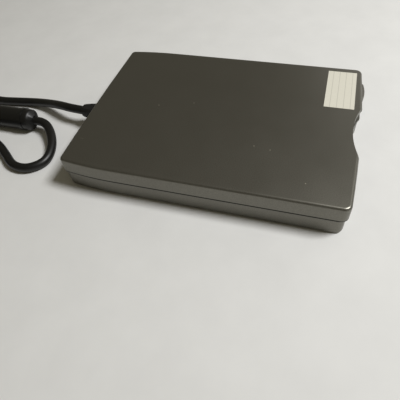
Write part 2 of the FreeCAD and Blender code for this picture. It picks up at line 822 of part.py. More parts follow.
def door_flap():
    """Flat flap that hangs behind the slot on a pin at each end."""
    body = new_body("door_flap")
    sketch = new_sketch(body, "flap_side", "YZ_Plane", -flap_half)
    half = flap_thick / 2
    points = [(hinge_y - half, hinge_z - flap_drop), (hinge_y + half, hinge_z - flap_drop),
              (hinge_y + half, hinge_z), ("arc", half), (hinge_y - half, hinge_z)]
    outline(sketch, points)
    pad(body, sketch, flap_half * 2, "flap_plate")
    pins = new_sketch(body, "flap_pin_ends", "YZ_Plane", -ear_in - 1.6)
    room = rectangle(spring_x - 0.3, spring_x + 2.6, hinge_y - 2, hinge_y + 2)
    cut_out(body, "spring_gap", room, "XY_Plane", hinge_z - 1.6, 4.0, True)
    circle(pins, hinge_y, hinge_z, flap_pin)
    pad(body, pins, (ear_in + 1.6) * 2, "flap_pins")
    return node(body)


def eject_button():
    """Hollow moulded button with a convex face and a foot that grips the slider's tongue."""
    body = new_body("eject_button")
    left, right = button_centre - button_width / 2, button_centre + button_width / 2
    front = front_face + 0.9 - button_proud + button_crown
    sketch = new_sketch(body, "button_plan", "XY_Plane", button_low)
    back = front + 7
    outline(sketch, [(left, front), ("arc", button_crown), (right, front), (right, back), (left, back)])
    blank = pad(body, sketch, button_height, "button_blank")
    edge_y = number(front) - 0.01
    round_edges(body, blank, lambda e: e.BoundBox.YMin < edge_y and not upright(e), 0.7, "button_soft_edge")
    cut_out(body, "button_core", rectangle(left + 1.2, right - 1.2, front + 2.2, front + 9), "XY_Plane",
            button_top - 1.2, button_height - 2.4)
    return node(body)


def led_lens():
    """Clear light pipe, flush with the front below the slot."""
    low = front_face + front_bow * 0.7 + tuck
    pipe = block("lens_pipe", lens_x - 2.5, lens_x + 2.5, low, front_face + front_wall + 1.5, lens_z - 0.7,
                 lens_z + 0.7)
    inside = front_face + front_wall
    collar = block("lens_collar", lens_x - 3.2, lens_x + 3.2, inside, inside + 1, lens_z - 1.4, lens_z + 1.4)
    return node(fuse("led_lens", pipe, collar))


def rubber_feet():
    feet = []
    for index, (x, y) in enumerate(foot_spots):
        feet.append(rod(f"foot_{index}", x, y, 0.0, foot_radius - 0.1, foot_height + foot_recess))
    return node(group("rubber_feet", *feet))


def case_screws():
    screws = []
    for index, (x, y) in enumerate(screw_spots):
        head = rod(f"case_screw_head_{index}", x, y, screw_seat - screw_head_height, screw_head_radius,
                   screw_head_height)
        shank = rod(f"case_screw_shank_{index}", x, y, screw_seat - 0.1, screw_shank_radius,
                    screw_shank_length)
        screws.append(fuse(f"case_screw_{index}", head, shank))
    return node(group("case_screws", *screws))


def top_label():
    """Plain paper label on the roof."""
    return node(block("top_label", label_left, label_left + label_length, label_front,
                      label_front + label_depth, case_height, case_height + label_thick))


def strain_relief():
    """Tapered boot with a neck through the rear wall and a flange inside it."""
    x, z = number(cord_side), number(cord_height)

    def section(y, half_x, half_z):
        rim = [Vector(x - half_x, y, z - half_z), Vector(x + half_x, y, z - half_z),
               Vector(x + half_x, y, z + half_z), Vector(x - half_x, y, z + half_z)]
        return Part.makePolygon(rim + rim[:1])

    start = number(rear_face) + relief_off_wall
    end = start + number(relief_length)
    half = number(cord_diameter) / 2
    sections = [section(start, relief_base_half, relief_base_rise),
                section(start + relief_collar, relief_waist_half, relief_waist_rise),
                section(end, half + relief_tip_side, half + relief_tip_rise)]
    boot = Part.makeLoft(sections, True, True)
    long_or_last = [e for e in boot.Edges if e.BoundBox.YLength > 1.0 or e.BoundBox.YMin > end - 0.1]
    boot = boot.makeFillet(relief_edge, long_or_last)
    neck = Part.makeBox(2 * neck_half, neck_length, 2 * neck_rise,
                        Vector(x - neck_half, start - flange_depth + flange_overlap, z - neck_rise))
    flange = Part.makeBox(2 * flange_side, flange_thick, 2 * flange_rise,
                          Vector(x - flange_side, start - flange_depth, z - flange_rise))
    shape = boot.fuse([neck, flange]).removeSplitter()
    return node(shaped("strain_relief", shape))


def arc_through(start, corner, end):
    """The arc from start to end that is tangent to the two lines meeting at corner."""
    chord = (start + end) * 0.5
    half = (end - start).Length / 2
    share = half / (corner - start).Length
    middle = (start + corner * (2 * share) + end) * (1 / (2 + 2 * share))
    reach = corner - chord
    if reach.Length < 1e-7:
        return Part.LineSegment(start, end).toShape()
    return Part.Arc(start, middle, end).toShape()


def rounded_path(points, name):
    """Straight runs joined by tangent arcs, each as large as its two runs allow."""
    spots = [Vector(*point) for point in points]
    runs = [(b - a).Length for a, b in zip(spots, spots[1:])]
    edges, here, radii = [], spots[0], []
    for index in range(1, len(spots) - 1):
        before = (spots[index] - spots[index - 1]).normalize()
        after = (spots[index + 1] - spots[index]).normalize()
        turn = before.getAngle(after)
        reach = 0.45 * min(runs[index - 1], runs[index])
        radii.append(round(reach / math.tan(turn / 2), 1))
        start, end = spots[index] - before * reach, spots[index] + after * reach
        edges.append(Part.LineSegment(here, start).toShape())
        edges.append(arc_through(start, spots[index], end))
        here = end
    edges.append(Part.LineSegment(here, spots[-1]).toShape())
    print(name, "arc radii", radii)
    return edges


def swept(edges, radius):
    """A round solid along tangent lines and arcs, so each run is a true cylinder or torus."""
    ring = Part.Wire(Part.makeCircle(radius, start_of(edges[0]), edges[0].tangentAt(edges[0].FirstParameter)))
    faces = [Part.Face(ring)]
    for edge in edges:
        end_ring = ring.copy()
        if isinstance(edge.Curve, Part.Circle):
            turn = math.degrees(edge.LastParameter - edge.FirstParameter)
            faces += ring.revolve(edge.Curve.Center, edge.Curve.Axis, turn).Faces
            end_ring.rotate(edge.Curve.Center, edge.Curve.Axis, turn)
        else:
            step = end_of(edge) - start_of(edge)
            faces += ring.extrude(step).Faces
            end_ring.translate(step)
        ring = end_ring
    faces.append(Part.Face(ring))
    shell = Part.makeShell(faces)
    shell.sewShape()
    solid = Part.Solid(shell)
    if solid.Volume < 0:
        solid.reverse()
    return solid


def start_of(edge):
    return edge.valueAt(edge.FirstParameter)


def end_of(edge):
    return edge.valueAt(edge.LastParameter)


def tube(edges, radius, name):
    """A cord's solid, its volume compared with section times length."""
    solid = swept(edges, radius)
    length = sum(edge.Length for edge in edges)
    ideal = math.pi * radius * radius * length
    print(name, "length", round(length, 1), "volume ratio", round(solid.Volume / ideal, 4))
    return solid


exit_y = number(rear_face) + relief_off_wall + number(relief_length)
choke_rear_end = (choke_side, choke_rear, choke_middle_height)
choke_front_end = (choke_side, choke_front, choke_middle_height)
lead_points = [
    (CORD_SIDE, exit_y, CORD_HEIGHT), (CORD_SIDE, 93.0, CORD_HEIGHT), (0.8, 107.0, 5.6), (5.0, 121.0, 2.6),
    (6.9, 136.0, 2.5), (10.5, 150.0, 2.5), (16.5, 167.5, 2.5), (21.0, 188.0, 2.5), (12.5, 208.0, 2.5),
    (-8.5, 210.5, 2.5), (-20.0, 192.0, 3.4), (-17.5, 171.5, 5.6), (choke_side, 158.0, choke_middle_height),
    choke_rear_end]
loop_points = [
    choke_front_end, (choke_side, 96.9, choke_middle_height), (-22.3, 87.6, 3.6), (-35.2, 87.6, 2.5),
    (-44.3, 96.9, 2.5), (-43.0, 110.5, 2.5), (-34.5, 122.0, 2.5), (-28.0, 135.0, 2.5), (-29.5, 148.0, 2.5),
    (-29.5, 158.0, 2.5)]


def coil_spot(turn):
    """A point of the coil's centre line: inwards, up a layer, and outwards again."""
    reach = min(turn, number(coil_turns) - turn)
    radius = number(coil_radius) - number(coil_pitch) * reach
    rise = min(max((turn - (number(coil_turns) / 2 - 0.25)) / 0.5, 0.0), 1.0)
    angle = 2 * math.pi * turn
    return Vector(coil_x + radius * math.cos(angle), coil_y + radius * math.sin(angle),
                  number(cord_diameter) / 2 + number(coil_pitch) * rise)


coil_x = loop_points[-1][0] - number(coil_radius)
coil_y = loop_points[-1][1]


def biarc(start, start_way, end, end_way):
    """Two arcs from start to end that leave and arrive along the given directions."""
    chord = end - start
    total = start_way + end_way
    flat = 2 * (1 - start_way.dot(end_way))
    along = chord.dot(total)
    reach = (-along + math.sqrt(along * along + flat * chord.dot(chord))) / flat
    first, last = start + start_way * reach, end - end_way * reach
    middle = (first + last) * 0.5
    return [arc_through(start, first, middle), arc_through(middle, last, end)]


def coil_path():
    steps = int(round(number(coil_turns) * 4))
    marks = [coil_spot(step / 4) for step in range(steps + 1)]
    nudge = 0.002
    ways = []
    for step in range(steps + 1):
        ways.append((coil_spot(step / 4 + nudge) - coil_spot(step / 4 - nudge)).normalize())
    ways[0] = Vector(0, 1, 0)
    ways[-1] = Vector(0, 1, 0)
    edges = []
    for index in range(steps):
        edges += biarc(marks[index], ways[index], marks[index + 1], ways[index + 1])
    lead_out = Part.LineSegment(marks[-1], marks[-1] + Vector(0, number(cord_diameter), 0)).toShape()
    return edges + [lead_out]


def least_gap(path, radius):
    """The coil's least gap to itself, measured on points along it."""
    spots = Part.Wire(path).discretize(Distance=1.5)
    apart = int(4 * radius * 3 / 1.5)
    least = 1e9
    for index, spot in enumerate(spots):
        for other in spots[index + apart:]:
            least = min(least, spot.distanceToPoint(other))
    return least - 2 * radius


def cord_pieces():
    """Lead, choke, loop, coil and tail of the cord."""
    radius = number(cord_diameter) / 2
    node(shaped("cord_lead", tube(rounded_path(lead_points, "lead"), radius, "lead")))
    node(shaped("cord_loop", tube(rounded_path(loop_points, "loop"), radius, "loop")))
    path = coil_path()
    node(shaped("cord_coil", tube(path, radius, "coil")))
    print("coil least gap", round(least_gap(path, radius), 2))
    end = end_of(path[-1])
    tail_points = [(end.x, end.y, end.z), (end.x, end.y + 13.0, end.z), (end.x - 5.5, end.y + 27.0, 5.6),
                   (end.x - 19.0, end.y + 37.0, 3.0), (end.x - 35.0, end.y + 37.0, 3.0)]
    node(shaped("cord_tail", tube(rounded_path(tail_points, "tail"), radius, "tail")))
    usb_plug(Vector(*tail_points[-1]))


def ferrite_choke():
    """Moulded choke with a ring near each end and domed ends, turned about its own axis."""
    body = new_body("ferrite_choke")
    sketch = new_sketch(body, "choke_half", "YZ_Plane", choke_side)
    axis = choke_middle_height
    skin = axis + choke_radius - choke_ring_height
    ring = axis + choke_radius
    dome = axis + choke_radius - 0.5
    mouth = axis + cord_diameter / 2 + 0.6
    rear, front = choke_rear, choke_front
    near, far = choke_ring_start, choke_ring_end
    outline(sketch, [(front, axis + 0.02), (rear, axis + 0.02), (rear, mouth), (rear - 2.4, dome),
                     (rear - near, skin), (rear - near, ring), (rear - far, ring), (rear - far, skin),
                     (front + far, skin), (front + far, ring), (front + near, ring), (front + near, skin),
                     (front + 2.4, dome), (front, mouth)])
    sketch.addGeometry(Part.LineSegment(Vector(front, axis, 0), Vector(rear, axis, 0)), True)
    doc.recompute()
    turned = body.newObject("PartDesign::Revolution", "choke_turn")
    turned.Profile = sketch
    turned.ReferenceAxis = (sketch, ["Axis0"])
    turned.Angle = 360
    return node(body)


def usb_plug(end):
    """Plug at the far end: moulded grip, folded metal shell and contact tongue."""
    z = end.z
    front = end.x - grip_length
    grip = Part.makeBox(grip_length, grip_half * 2, z + grip_rise, Vector(front, end.y - grip_half, 0.0))
    grip = grip.makeFillet(1.6, [e for e in grip.Edges if e.BoundBox.XLength > 20])
    far_edges = [e for e in grip.Edges if e.BoundBox.XLength < 1e-3 and e.BoundBox.XMin < end.x - 20]
    grip = grip.makeFillet(1.2, far_edges)
    node(shaped("usb_plug_grip", grip))
    long, wide, high, wall = plug_shell_length, plug_shell_width, plug_shell_height, plug_shell_wall
    outer = Part.makeBox(long, wide, high, Vector(front - long, end.y - wide / 2, z - high / 2))
    inner = Part.makeBox(long - 1.0, wide - 2 * wall, high - 2 * wall,
                         Vector(front - long - 0.5, end.y - wide / 2 + wall, z - high / 2 + wall))
    windows = [Part.makeBox(2.5, 2.2, 6, Vector(front - 7.5, end.y + side - 1.1, z)) for side in (-2.7, 2.7)]
    shell = outer.cut([inner] + windows)
    node(shaped("usb_plug_shell", shell))
    tongue = Part.makeBox(9.2, 11.2, 1.9, Vector(front - 11.0, end.y - 5.6, z - 1.9))
    node(shaped("usb_plug_tongue", tongue))


def chassis():
    """Pressed frame: floor with openings, and side walls with upright guide slots."""
    body = new_body("chassis")
    outer = wall_half + chassis_thick
    sketch = new_sketch(body, "frame_plan", "XY_Plane", chassis_low)
    outline(sketch, rectangle(-outer, outer, chassis_front, chassis_rear))
    for index, (x0, x1, y0, y1) in enumerate(((-28.0, -16.0, 30.0, 46.0), (20.0, 34.0, 22.0, 36.0),
                                              (-22.0, 22.0, -56.0, -48.0))):
        outline(sketch, rectangle(x0, x1, y0, y1))
    for x, y in chassis_spots:
        circle(sketch, x, y, 1.35)
    pad(body, sketch, chassis_thick, "frame_floor")
    walls = new_sketch(body, "wall_plan", "XY_Plane", chassis_low)
    wall_front, wall_rear = slider_front - 2.0, slider_rear + 4.0
    outline(walls, rectangle(wall_half, outer, wall_front, wall_rear))
    outline(walls, rectangle(-outer, -wall_half, wall_front, wall_rear))
    pad(body, walls, chassis_top - chassis_low, "frame_walls")
    slots = new_sketch(body, "guide_slots", "YZ_Plane", -outer - 1)
    reach = lift_pin + 0.15
    for y in (front_pin, rear_pin):
        outline(slots, rectangle(y - reach, y + reach, pin_height - disk_lift - reach, chassis_top + 1))
    pocket(body, slots, outer * 2 + 2, "guides", True)
    ends = new_sketch(body, "rear_wall_plan", "XY_Plane", chassis_low)
    outline(ends, rectangle(-46.0, -36.0, chassis_rear - chassis_thick, chassis_rear))
    outline(ends, rectangle(22.0, 38.0, chassis_rear - chassis_thick, chassis_rear))
    pad(body, ends, 6.5, "rear_walls")
    return node(body)


def ramp(y):
    """One ramp slot of the slider: level ends joined by a slope."""
    reach = lift_pin + ramp_gap
    high, low = pin_height, pin_height - disk_lift
    far = y + eject_travel
    return [(y - reach, high - reach), (y, high - reach), (far, low - reach), (far + reach, low - reach),
            (far + reach, low + reach), (far, low + reach), (y, high + reach), (y - reach, high + reach)]


def eject_slider():
    """Sheet metal slider: two arms with ramped side flanges, joined at the front, with a tongue."""
    body = new_body("eject_slider")
    outer = flange_half + sheet_thick
    inner = outer - slider_arm
    bridge = slider_front + 9.0
    sketch = new_sketch(body, "slider_plan", "XY_Plane", slider_height)
    tongue_left, tongue_right = button_centre - button_width / 2 + 1.1, button_centre - button_width / 2 + 4.4
    tongue_end = front_face + 6.4
    outline(sketch, [(-outer, slider_front), (tongue_left, slider_front), (tongue_left, tongue_end),
                     (tongue_right, tongue_end), (tongue_right, slider_front), (outer, slider_front),
                     (outer, slider_rear), (inner, slider_rear), (inner, bridge), (-inner, bridge),
                     (-inner, slider_rear), (-outer, slider_rear)])
    pad(body, sketch, sheet_thick, "slider_plate")
    flanges = new_sketch(body, "flange_plan", "XY_Plane", slider_height)
    for low, high in ((flange_half, outer), (-outer, -flange_half)):
        outline(flanges, rectangle(low, high, slider_front, slider_rear))
    pad(body, flanges, flange_top - slider_height, "slider_flanges")
    ramps = new_sketch(body, "ramp_slots", "YZ_Plane", -outer - 1)
    for y in (front_pin, rear_pin):
        outline(ramps, ramp(y))
    pocket(body, ramps, outer * 2 + 2, "ramps", True)
    return node(body)


def disk_carrier():
    """Folded tray: top plate with cut-outs, side walls, lips under the disk's edges."""
    body = new_body("disk_carrier")
    outer = carrier_half + tray_sheet
    top = carrier_under + tray_sheet
    lip_low = disk_rest - 0.3 - tray_sheet
    lip_top = lip_low + tray_sheet
    lip_end = outer - tray_lip
    profile = new_sketch(body, "tray_section", "XZ_Plane", -carrier_rear)
    points = [(-outer, lip_low), (-lip_end, lip_low), (-lip_end, lip_top), (-carrier_half, lip_top),
              (-carrier_half, carrier_under), (carrier_half, carrier_under), (carrier_half, lip_top),
              (lip_end, lip_top), (lip_end, lip_low), (outer, lip_low), (outer, top), (-outer, top)]
    outline(profile, points)
    pad(body, profile, carrier_rear - carrier_front, "tray")
    below = carrier_under - 0.2
    through = 1.4
    head_way = rectangle(-8.0, 8.0, head_rest - track_travel - 4.5, carrier_rear + 1)
    cut_out(body, "head_cut_out", head_way, "XY_Plane", below, through, True)
    hand_way = [(-16, carrier_front - 1), (16, carrier_front - 1), (16, carrier_front + 4), ("arc", 4.0),
                (-16, carrier_front + 4)]
    cut_out(body, "hand_cut_out", hand_way, "XY_Plane", below, through, True)
    near, far = latch_arm - 1.3, latch_arm + 1.3
    angles = [math.radians(number(latch_start) + a) for a in (3.6, -63.6)]
    slot = new_sketch(body, "latch_slot", "XY_Plane", below)
    steps = 8
    inner = [(latch_x + near * math.cos(a), latch_y + near * math.sin(a))
             for a in [angles[1] + (angles[0] - angles[1]) * i / steps for i in range(steps + 1)]]
    outer_side = [(latch_x + far * math.cos(a), latch_y + far * math.sin(a))
                  for a in [angles[0] + (angles[1] - angles[0]) * i / steps for i in range(steps + 1)]]
    outline(slot, inner + outer_side)
    pocket(body, slot, through, "latch_slot_cut", True)
    drill(body, "latch_pin_hole", [(latch_x, latch_y)], latch_pin + pin_gap, "XY_Plane", below, through, True)
    for side, role_lift in ((1, carrier_half + 0.4), (-1, -wall_half - chassis_thick + 0.1)):
        pins = new_sketch(body, f"lift_pins_{'right' if side > 0 else 'left'}", "YZ_Plane", role_lift)
        for y in (front_pin, rear_pin):
            circle(pins, y, pin_height, lift_pin)
        pad(body, pins, wall_half + chassis_thick - 0.1 - carrier_half - 0.4,
            f"lift_pin_pad_{'right' if side > 0 else 'left'}")
    return node(body)


def latch_lever():
    """Flat lever on the carrier, with a roller that the disk pushes back."""
    body = new_body("latch_lever")
    low = carrier_under + 0.6
    sketch = new_sketch(body, "lever_plan", "XY_Plane", low)
    angle = math.radians(number(latch_start))
    cos, sin = math.cos(angle), math.sin(angle)
    hub, tip = lever_hub, lever_tip

    def spot(along, across):
        return (latch_x + along * cos - across * sin, latch_y + along * sin + across * cos)

    outline(sketch, [spot(0.0, -hub), spot(latch_arm, -tip), ("arc", tip), spot(latch_arm, tip), spot(0.0, hub),
                     ("arc", hub)])
    circle(sketch, latch_x, latch_y, latch_pin + pin_gap)
    pad(body, sketch, lever_thick, "lever_plate")
    roller = new_sketch(body, "roller_ring", "XY_Plane", disk_rest + 0.9)
    x, y = spot(latch_arm, 0.0)
    circle(roller, x, y, roller_radius)
    pad(body, roller, low - disk_rest - 0.7, "roller")
    return node(body)


def latch_pivot():
    """Rivet that the latch lever turns on."""
    shank = rod("latch_shank", latch_x, latch_y, carrier_under, latch_pin, 1.1)
    head = rod("latch_head", latch_x, latch_y, carrier_under + 1.15, 1.9, 0.2)
    neck = rod("latch_neck", latch_x, latch_y, carrier_under + 1.0, latch_pin, 0.3)
    return node(fuse("latch_pivot", shank, neck, head))


def spindle_motor():
    """Motor board, bearing, stator coils, ring magnet, rotor cup, shaft and chuck plate."""
    y = spindle_back
    board = block("motor_board_blank", -motor_board_half, motor_board_half, y - 23.0, y + 19.0, chassis_floor,
                  chassis_floor + motor_board_thick)
    hole = rod("motor_board_hole", 0.0, y, chassis_floor - 1, 3.6, 3.0)
    node(cut("motor_board", board, hole))
    sleeve = rod("bearing_blank", 0.0, y, chassis_floor, bearing_radius, 2.6)
    bore = rod("bearing_bore", 0.0, y, chassis_floor - 1, shaft_radius + shaft_gap, 5.0)
    node(cut("spindle_bearing", sleeve, bore))
    coils = []
    for index in range(stator_count):
        angle = 2 * math.pi * index / stator_count
        side, back = stator_ring * math.cos(angle), spindle_back + stator_ring * math.sin(angle)
        outer = rod(f"coil_blank_{index}", side, back, chassis_floor + motor_board_thick, stator_coil_radius,
                    stator_coil_height)
        inner = rod(f"coil_eye_{index}", side, back, chassis_floor, stator_eye_radius, 3.0)
        coils.append(cut(f"stator_coil_{index}", outer, inner))
    node(group("stator_coils", *coils))
    low = chassis_floor + 2.2
    magnet = rod("magnet_blank", 0.0, y, low, rotor_radius - 0.7, 1.2)
    eye = rod("magnet_eye", 0.0, y, low - 1, 7.0, 4.0)
    node(cut("rotor_magnet", magnet, eye))
    disc = rod("rotor_blank", 0.0, y, low + 0.2, rotor_radius, 1.6)
    room = rod("rotor_room", 0.0, y, low - 1, rotor_radius - 0.7, 2.2)
    hub_hole = rod("rotor_hole", 0.0, y, low - 1, shaft_radius, 5.0)
    node(cut("rotor_cup", disc, room, hub_hole))
    node(rod("spindle_shaft", 0.0, y, chassis_floor + 0.1, shaft_radius, disk_seat + 1.3 - chassis_floor - 0.1))
    chuck = rod("chuck_blank", 0.0, y, low + 1.8, chuck_radius, disk_seat + 0.2 - low - 1.8)
    pin = rod("drive_pin", 8.2, y, disk_seat, 1.1, 1.3)
    hole = rod("chuck_hole", 0.0, y, low, shaft_radius, 6.0)
    node(cut("chuck_plate", fuse("chuck_solid", chuck, pin), hole))


def head_carriage():
    """Carriage on its guide rod, with a follower round the lead screw and the lower head."""
    body = new_body("head_carriage")
    front, rear = head_rest - 4.0, head_rest + 18.0
    base = drive_height - 2.0
    sketch = new_sketch(body, "carriage_plan", "XY_Plane", base)
    outline(sketch, [(rod_side - 2.6, front + 6.0), (-5.5, front + 6.0), (-5.5, front), (5.5, front),
                     (5.5, front + 6.0), (screw_side + 2.9, front + 6.0), (screw_side + 2.9, front + 10.0),
                     (7.0, front + 10.0), (7.0, rear), (rod_side - 2.6, rear)])
    pad(body, sketch, 4.0, "carriage_blank")
    stand = new_sketch(body, "head_stand", "XY_Plane", base + 3.8)
    outline(stand, rectangle(-4.0, 4.0, head_rest - 3.6, head_rest + 3.6))
    pad(body, stand, disk_seat + 1.0 - base - 3.8 - 0.3, "head_stand_pad")
    hinge = new_sketch(body, "arm_mount", "XY_Plane", base + 3.8)
    for low, high in ((-7.6, -5.6), (5.0, 7.0)):
        outline(hinge, rectangle(low, high, rear - 4.2, rear))
    pad(body, hinge, arm_z + 1.6 - base - 3.8, "arm_mount_pad")
    bores = new_sketch(body, "rod_bore", "XZ_Plane", -front + 20)
    circle(bores, rod_side, drive_height, rod_radius + 0.06)
    pocket(body, bores, 80.0, "rod_bore_cut")
    follower = new_sketch(body, "screw_bore", "XZ_Plane", -front + 20)
    circle(follower, screw_side, drive_height, screw_radius + 0.3)
    pocket(body, follower, 80.0, "screw_bore_cut")
    pivot = new_sketch(body, "arm_pivot_bore", "YZ_Plane", -20.0)
    circle(pivot, arm_y, arm_z, arm_pin + pin_gap)
    pocket(body, pivot, 40.0, "arm_pivot_cut", True)
    return node(body)


def lower_head():
    return node(block("lower_head", -2.6, 2.6, head_rest - 2.2, head_rest + 2.2, disk_seat + 0.7,
                      disk_seat + 1.5))


def upper_arm():
    """Upper head arm on its pivot pin, raised while no disk is loaded."""
    turn = Rotation(Vector(1, 0, 0), number(arm_raise) * -1)
    pivot = Vector(0, number(arm_y), number(arm_z))
    reach, z = number(arm_length), number(arm_z)
    y = pivot.y
    profile = [(-3.0, y - reach - 2.0), (3.0, y - reach - 2.0), (4.4, y - 3.0), (4.4, y + 1.6), (-4.4, y + 1.6),
               (-4.4, y - 3.0)]
    ring = [Vector(px, py, z - 0.3) for px, py in profile]
    plate_shape = Part.Face(Part.makePolygon(ring + ring[:1])).extrude(Vector(0, 0, 0.6))
    rib = Part.makeBox(1.2, reach - 3, 0.6, Vector(-0.6, y - reach, z + 0.3))
    knuckle = Part.makeCylinder(1.3, 8.8, Vector(-4.4, y, z), Vector(1, 0, 0))
    pin = Part.makeCylinder(number(arm_pin), 14.4, Vector(-7.5, y, z), Vector(1, 0, 0))
    shape = plate_shape.fuse([rib, knuckle, pin]).removeSplitter()
    node(shaped("upper_arm", turned_about(shape, pivot, turn)))
    head = Part.makeBox(4.6, 4.0, 0.9, Vector(-2.3, y - reach - 2.0, z - 1.2))
    node(shaped("upper_head", turned_about(head, pivot, turn)))


def turned_about(shape, pivot, turn):
    moved = shape.copy()
    moved.Placement = Placement(pivot, turn).multiply(Placement(-pivot, Rotation()))
    return moved


def head_drive():
    """Guide rod in its clamps, lead screw, its bearing and the stepper motor."""
    rear_end = chassis_rear - 1.0
    front_end = head_rest - track_travel - 1.5
    front_clamp = block("rod_clamp_front", rod_side - 3.0, rod_side + 3.0, front_end - 1.0, front_end + 1.0,
                        chassis_floor, drive_height + 2.0)
    rear_clamp = block("rod_clamp_rear", rod_side - 3.0, rod_side + 3.0, rear_end - 0.4, rear_end + 0.9,
                       chassis_floor, drive_height + 2.0)
    clamps = []
    for tag, blank in (("front", front_clamp), ("rear", rear_clamp)):
        hole = rod(f"clamp_hole_{tag}", rod_side, front_end - 5.0, drive_height, rod_radius, 60.0, "y")
        clamps.append(cut(f"rod_clamp_{tag}_bored", blank, hole))
    node(group("rod_clamps", *clamps))
    node(rod("guide_rod", rod_side, front_end - 0.8, drive_height, rod_radius, rear_end - front_end + 1.4, "y"))
    screw_front = head_rest - track_travel
    motor_front = stepper_front
    screw = rod("screw_core", screw_side, screw_front, drive_height, screw_radius - 0.25,
                motor_front - screw_front + 1.5, "y")
    rings = []
    count = int((number(motor_front) - 1.5 - number(screw_front) - 2.0) / (number(screw_pitch) / 2))
    for index in range(count):
        rings.append(rod(f"screw_ridge_{index}", screw_side, screw_front + 2.0 + screw_pitch / 2 * index,
                         drive_height, screw_radius, screw_pitch * 0.3, "y"))
    node(fuse("lead_screw", screw, *rings))
    core = screw_radius - 0.25
    bearing = block("bearing_block_blank", screw_side - 2.6, screw_side + 2.6, screw_front - 1.6,
                    screw_front + 1.2, chassis_floor, drive_height + 2.2)
    bore = rod("bearing_block_bore", screw_side, screw_front - 0.6, drive_height, core + pin_gap, 4.0, "y")
    node(cut("screw_bearing", bearing, bore))
    can = rod("stepper_can", screw_side, motor_front, drive_height, stepper_radius, stepper_length, "y")
    mount = block("stepper_mount", screw_side - 5.5, screw_side + 5.5, motor_front, motor_front + 0.8,
                  chassis_floor, drive_height + stepper_radius)
    hole = rod("stepper_bore", screw_side, motor_front - 1.0, drive_height, core + pin_gap, 3.6, "y")
    node(cut("stepper_motor", fuse("stepper_solid", can, mount), hole))


def switches():
    """Three small switches that feel the disk, and their plungers."""
    housings = []
    for name, x, y in switch_spots:
        blank = block(f"switch_{name}", x - 2.2, x + 2.2, y - 2.2, y + 2.2, chassis_floor, switch_top)
        well = rod(f"switch_{name}_well", x, y, switch_top - 2.2, plunger_radius + 0.12, 4.0)
        housings.append(cut(f"switch_{name}_housing", blank, well))
        node(rod(f"plunger_{name}", x, y, switch_top - 1.2, plunger_radius, disk_seat + 0.7 - switch_top + 1.2))
    node(group("switch_housings", *housings))


def interface_board():
    """Board behind the mechanism that the cord is soldered to, and what stands on it."""
    blank = block("board_blank", -board_half, board_half, board_front, board_rear, board_low,
                  board_low + board_thick)
    node(blank, "interface_board")
    top = board_low + board_thick
    middle = (board_front + board_rear) / 2
    chip = block("usb_chip", 12.0, 21.0, middle - 4.5, middle + 4.5, top, top + 1.4)
    memory = block("memory_chip", 26.0, 31.0, middle - 2.0, middle + 2.0, top, top + 1.2)
    crystal = block("crystal", 4.0, 10.5, middle + 1.2, middle + 4.6, top, top + 2.8)
    capacitor = rod("capacitor", -10.0, middle + 3.0, top, 2.5, 4.2)
    regulator = block("regulator", 4.0, 8.5, middle - 5.0, middle - 2.2, top, top + 1.5)
    node(group("board_parts", chip, memory, crystal, capacitor, regulator))
    socket = block("cable_socket", -34.0, -18.0, board_front + 1.4, board_front + 4.6, top, top + 2.4)
    node(socket)
    cord_socket = block("cord_socket", cord_side - 4.5, cord_side + 4.5, board_rear - 6.4, board_rear - 2.6,
                        top, top + 3.4)
    node(cord_socket)


def flat_cable():
    """Flat cable folded from the motor board to the interface board's socket."""
    body = new_body("flat_cable")
    top = board_low + board_thick + 2.4
    start = chassis_rear - 3.6
    sketch = new_sketch(body, "cable_side", "YZ_Plane", -33.0)
    low = chassis_floor + 0.9
    outline(sketch, [(start, low + 4.4), (board_front + 3.0, low + 4.4), (board_front + 3.0, top + 0.05),
                     (board_front + 3.3, top + 0.05), (board_front + 3.3, low + 4.7), (start, low + 4.7)])
    pad(body, sketch, 14.0, "cable_strip")
    return node(body)


def mechanism_screws():
    screws = []
    for index, (x, y) in enumerate(chassis_spots):
        head = rod(f"frame_screw_head_{index}", x, y, chassis_floor, frame_screw_head_radius, 1.0)
        shank = rod(f"frame_screw_shank_{index}", x, y, chassis_low - 0.9, frame_screw_shank_radius, 1.8)
        screws.append(fuse(f"frame_screw_{index}", head, shank))
    return node(group("mechanism_screws", *screws))


def helix_spring(base, radius, wire, pitch, turns, way):
    """A coil spring along one axis, from arcs that follow the helix."""
    across = Vector(0, 0, 1)
    other = way.cross(across)
    per_turn = 4

    def spot(turn):
        angle = 2 * math.pi * turn
        around = across * math.cos(angle) + other * math.sin(angle)
        return base + way * (pitch * turn) + around * radius

    def direction(turn):
        angle = 2 * math.pi * turn
        around = across * -math.sin(angle) + other * math.cos(angle)
        return (way * pitch + around * (2 * math.pi * radius)).normalize()

    edges = []
    for step in range(int(turns * per_turn)):
        low, high = step / per_turn, (step + 1) / per_turn
        edges += biarc(spot(low), direction(low), spot(high), direction(high))
    return swept(edges, wire)


def springs():
    """Slider springs along the arms and the door flap's torsion spring."""
    for name, side in (("slider_spring_left", -1), ("slider_spring_right", 1)):
        base = Vector(side * slider_spring_side, slider_spring_start, slider_spring_height)
        node(shaped(name, helix_spring(base, slider_spring_radius, slider_spring_wire, slider_spring_pitch,
                                       slider_spring_turns, Vector(0, 1, 0))))
    flap_base = Vector(spring_x, number(hinge_y), number(hinge_z))
    node(shaped("flap_spring", helix_spring(flap_base, flap_spring_radius, flap_spring_wire, flap_spring_pitch,
                                            flap_spring_turns, Vector(1, 0, 0))))


top_cover()
bottom_cover()
door_flap()
eject_button()
led_lens()
rubber_feet()
case_screws()
top_label()
strain_relief()
cord_pieces()
ferrite_choke()
chassis()
eject_slider()
disk_carrier()
latch_lever()
latch_pivot()
spindle_motor()
head_carriage()
lower_head()
upper_arm()
head_drive()
switches()
interface_board()
flat_cable()
mechanism_screws()
springs()
doc.recompute()

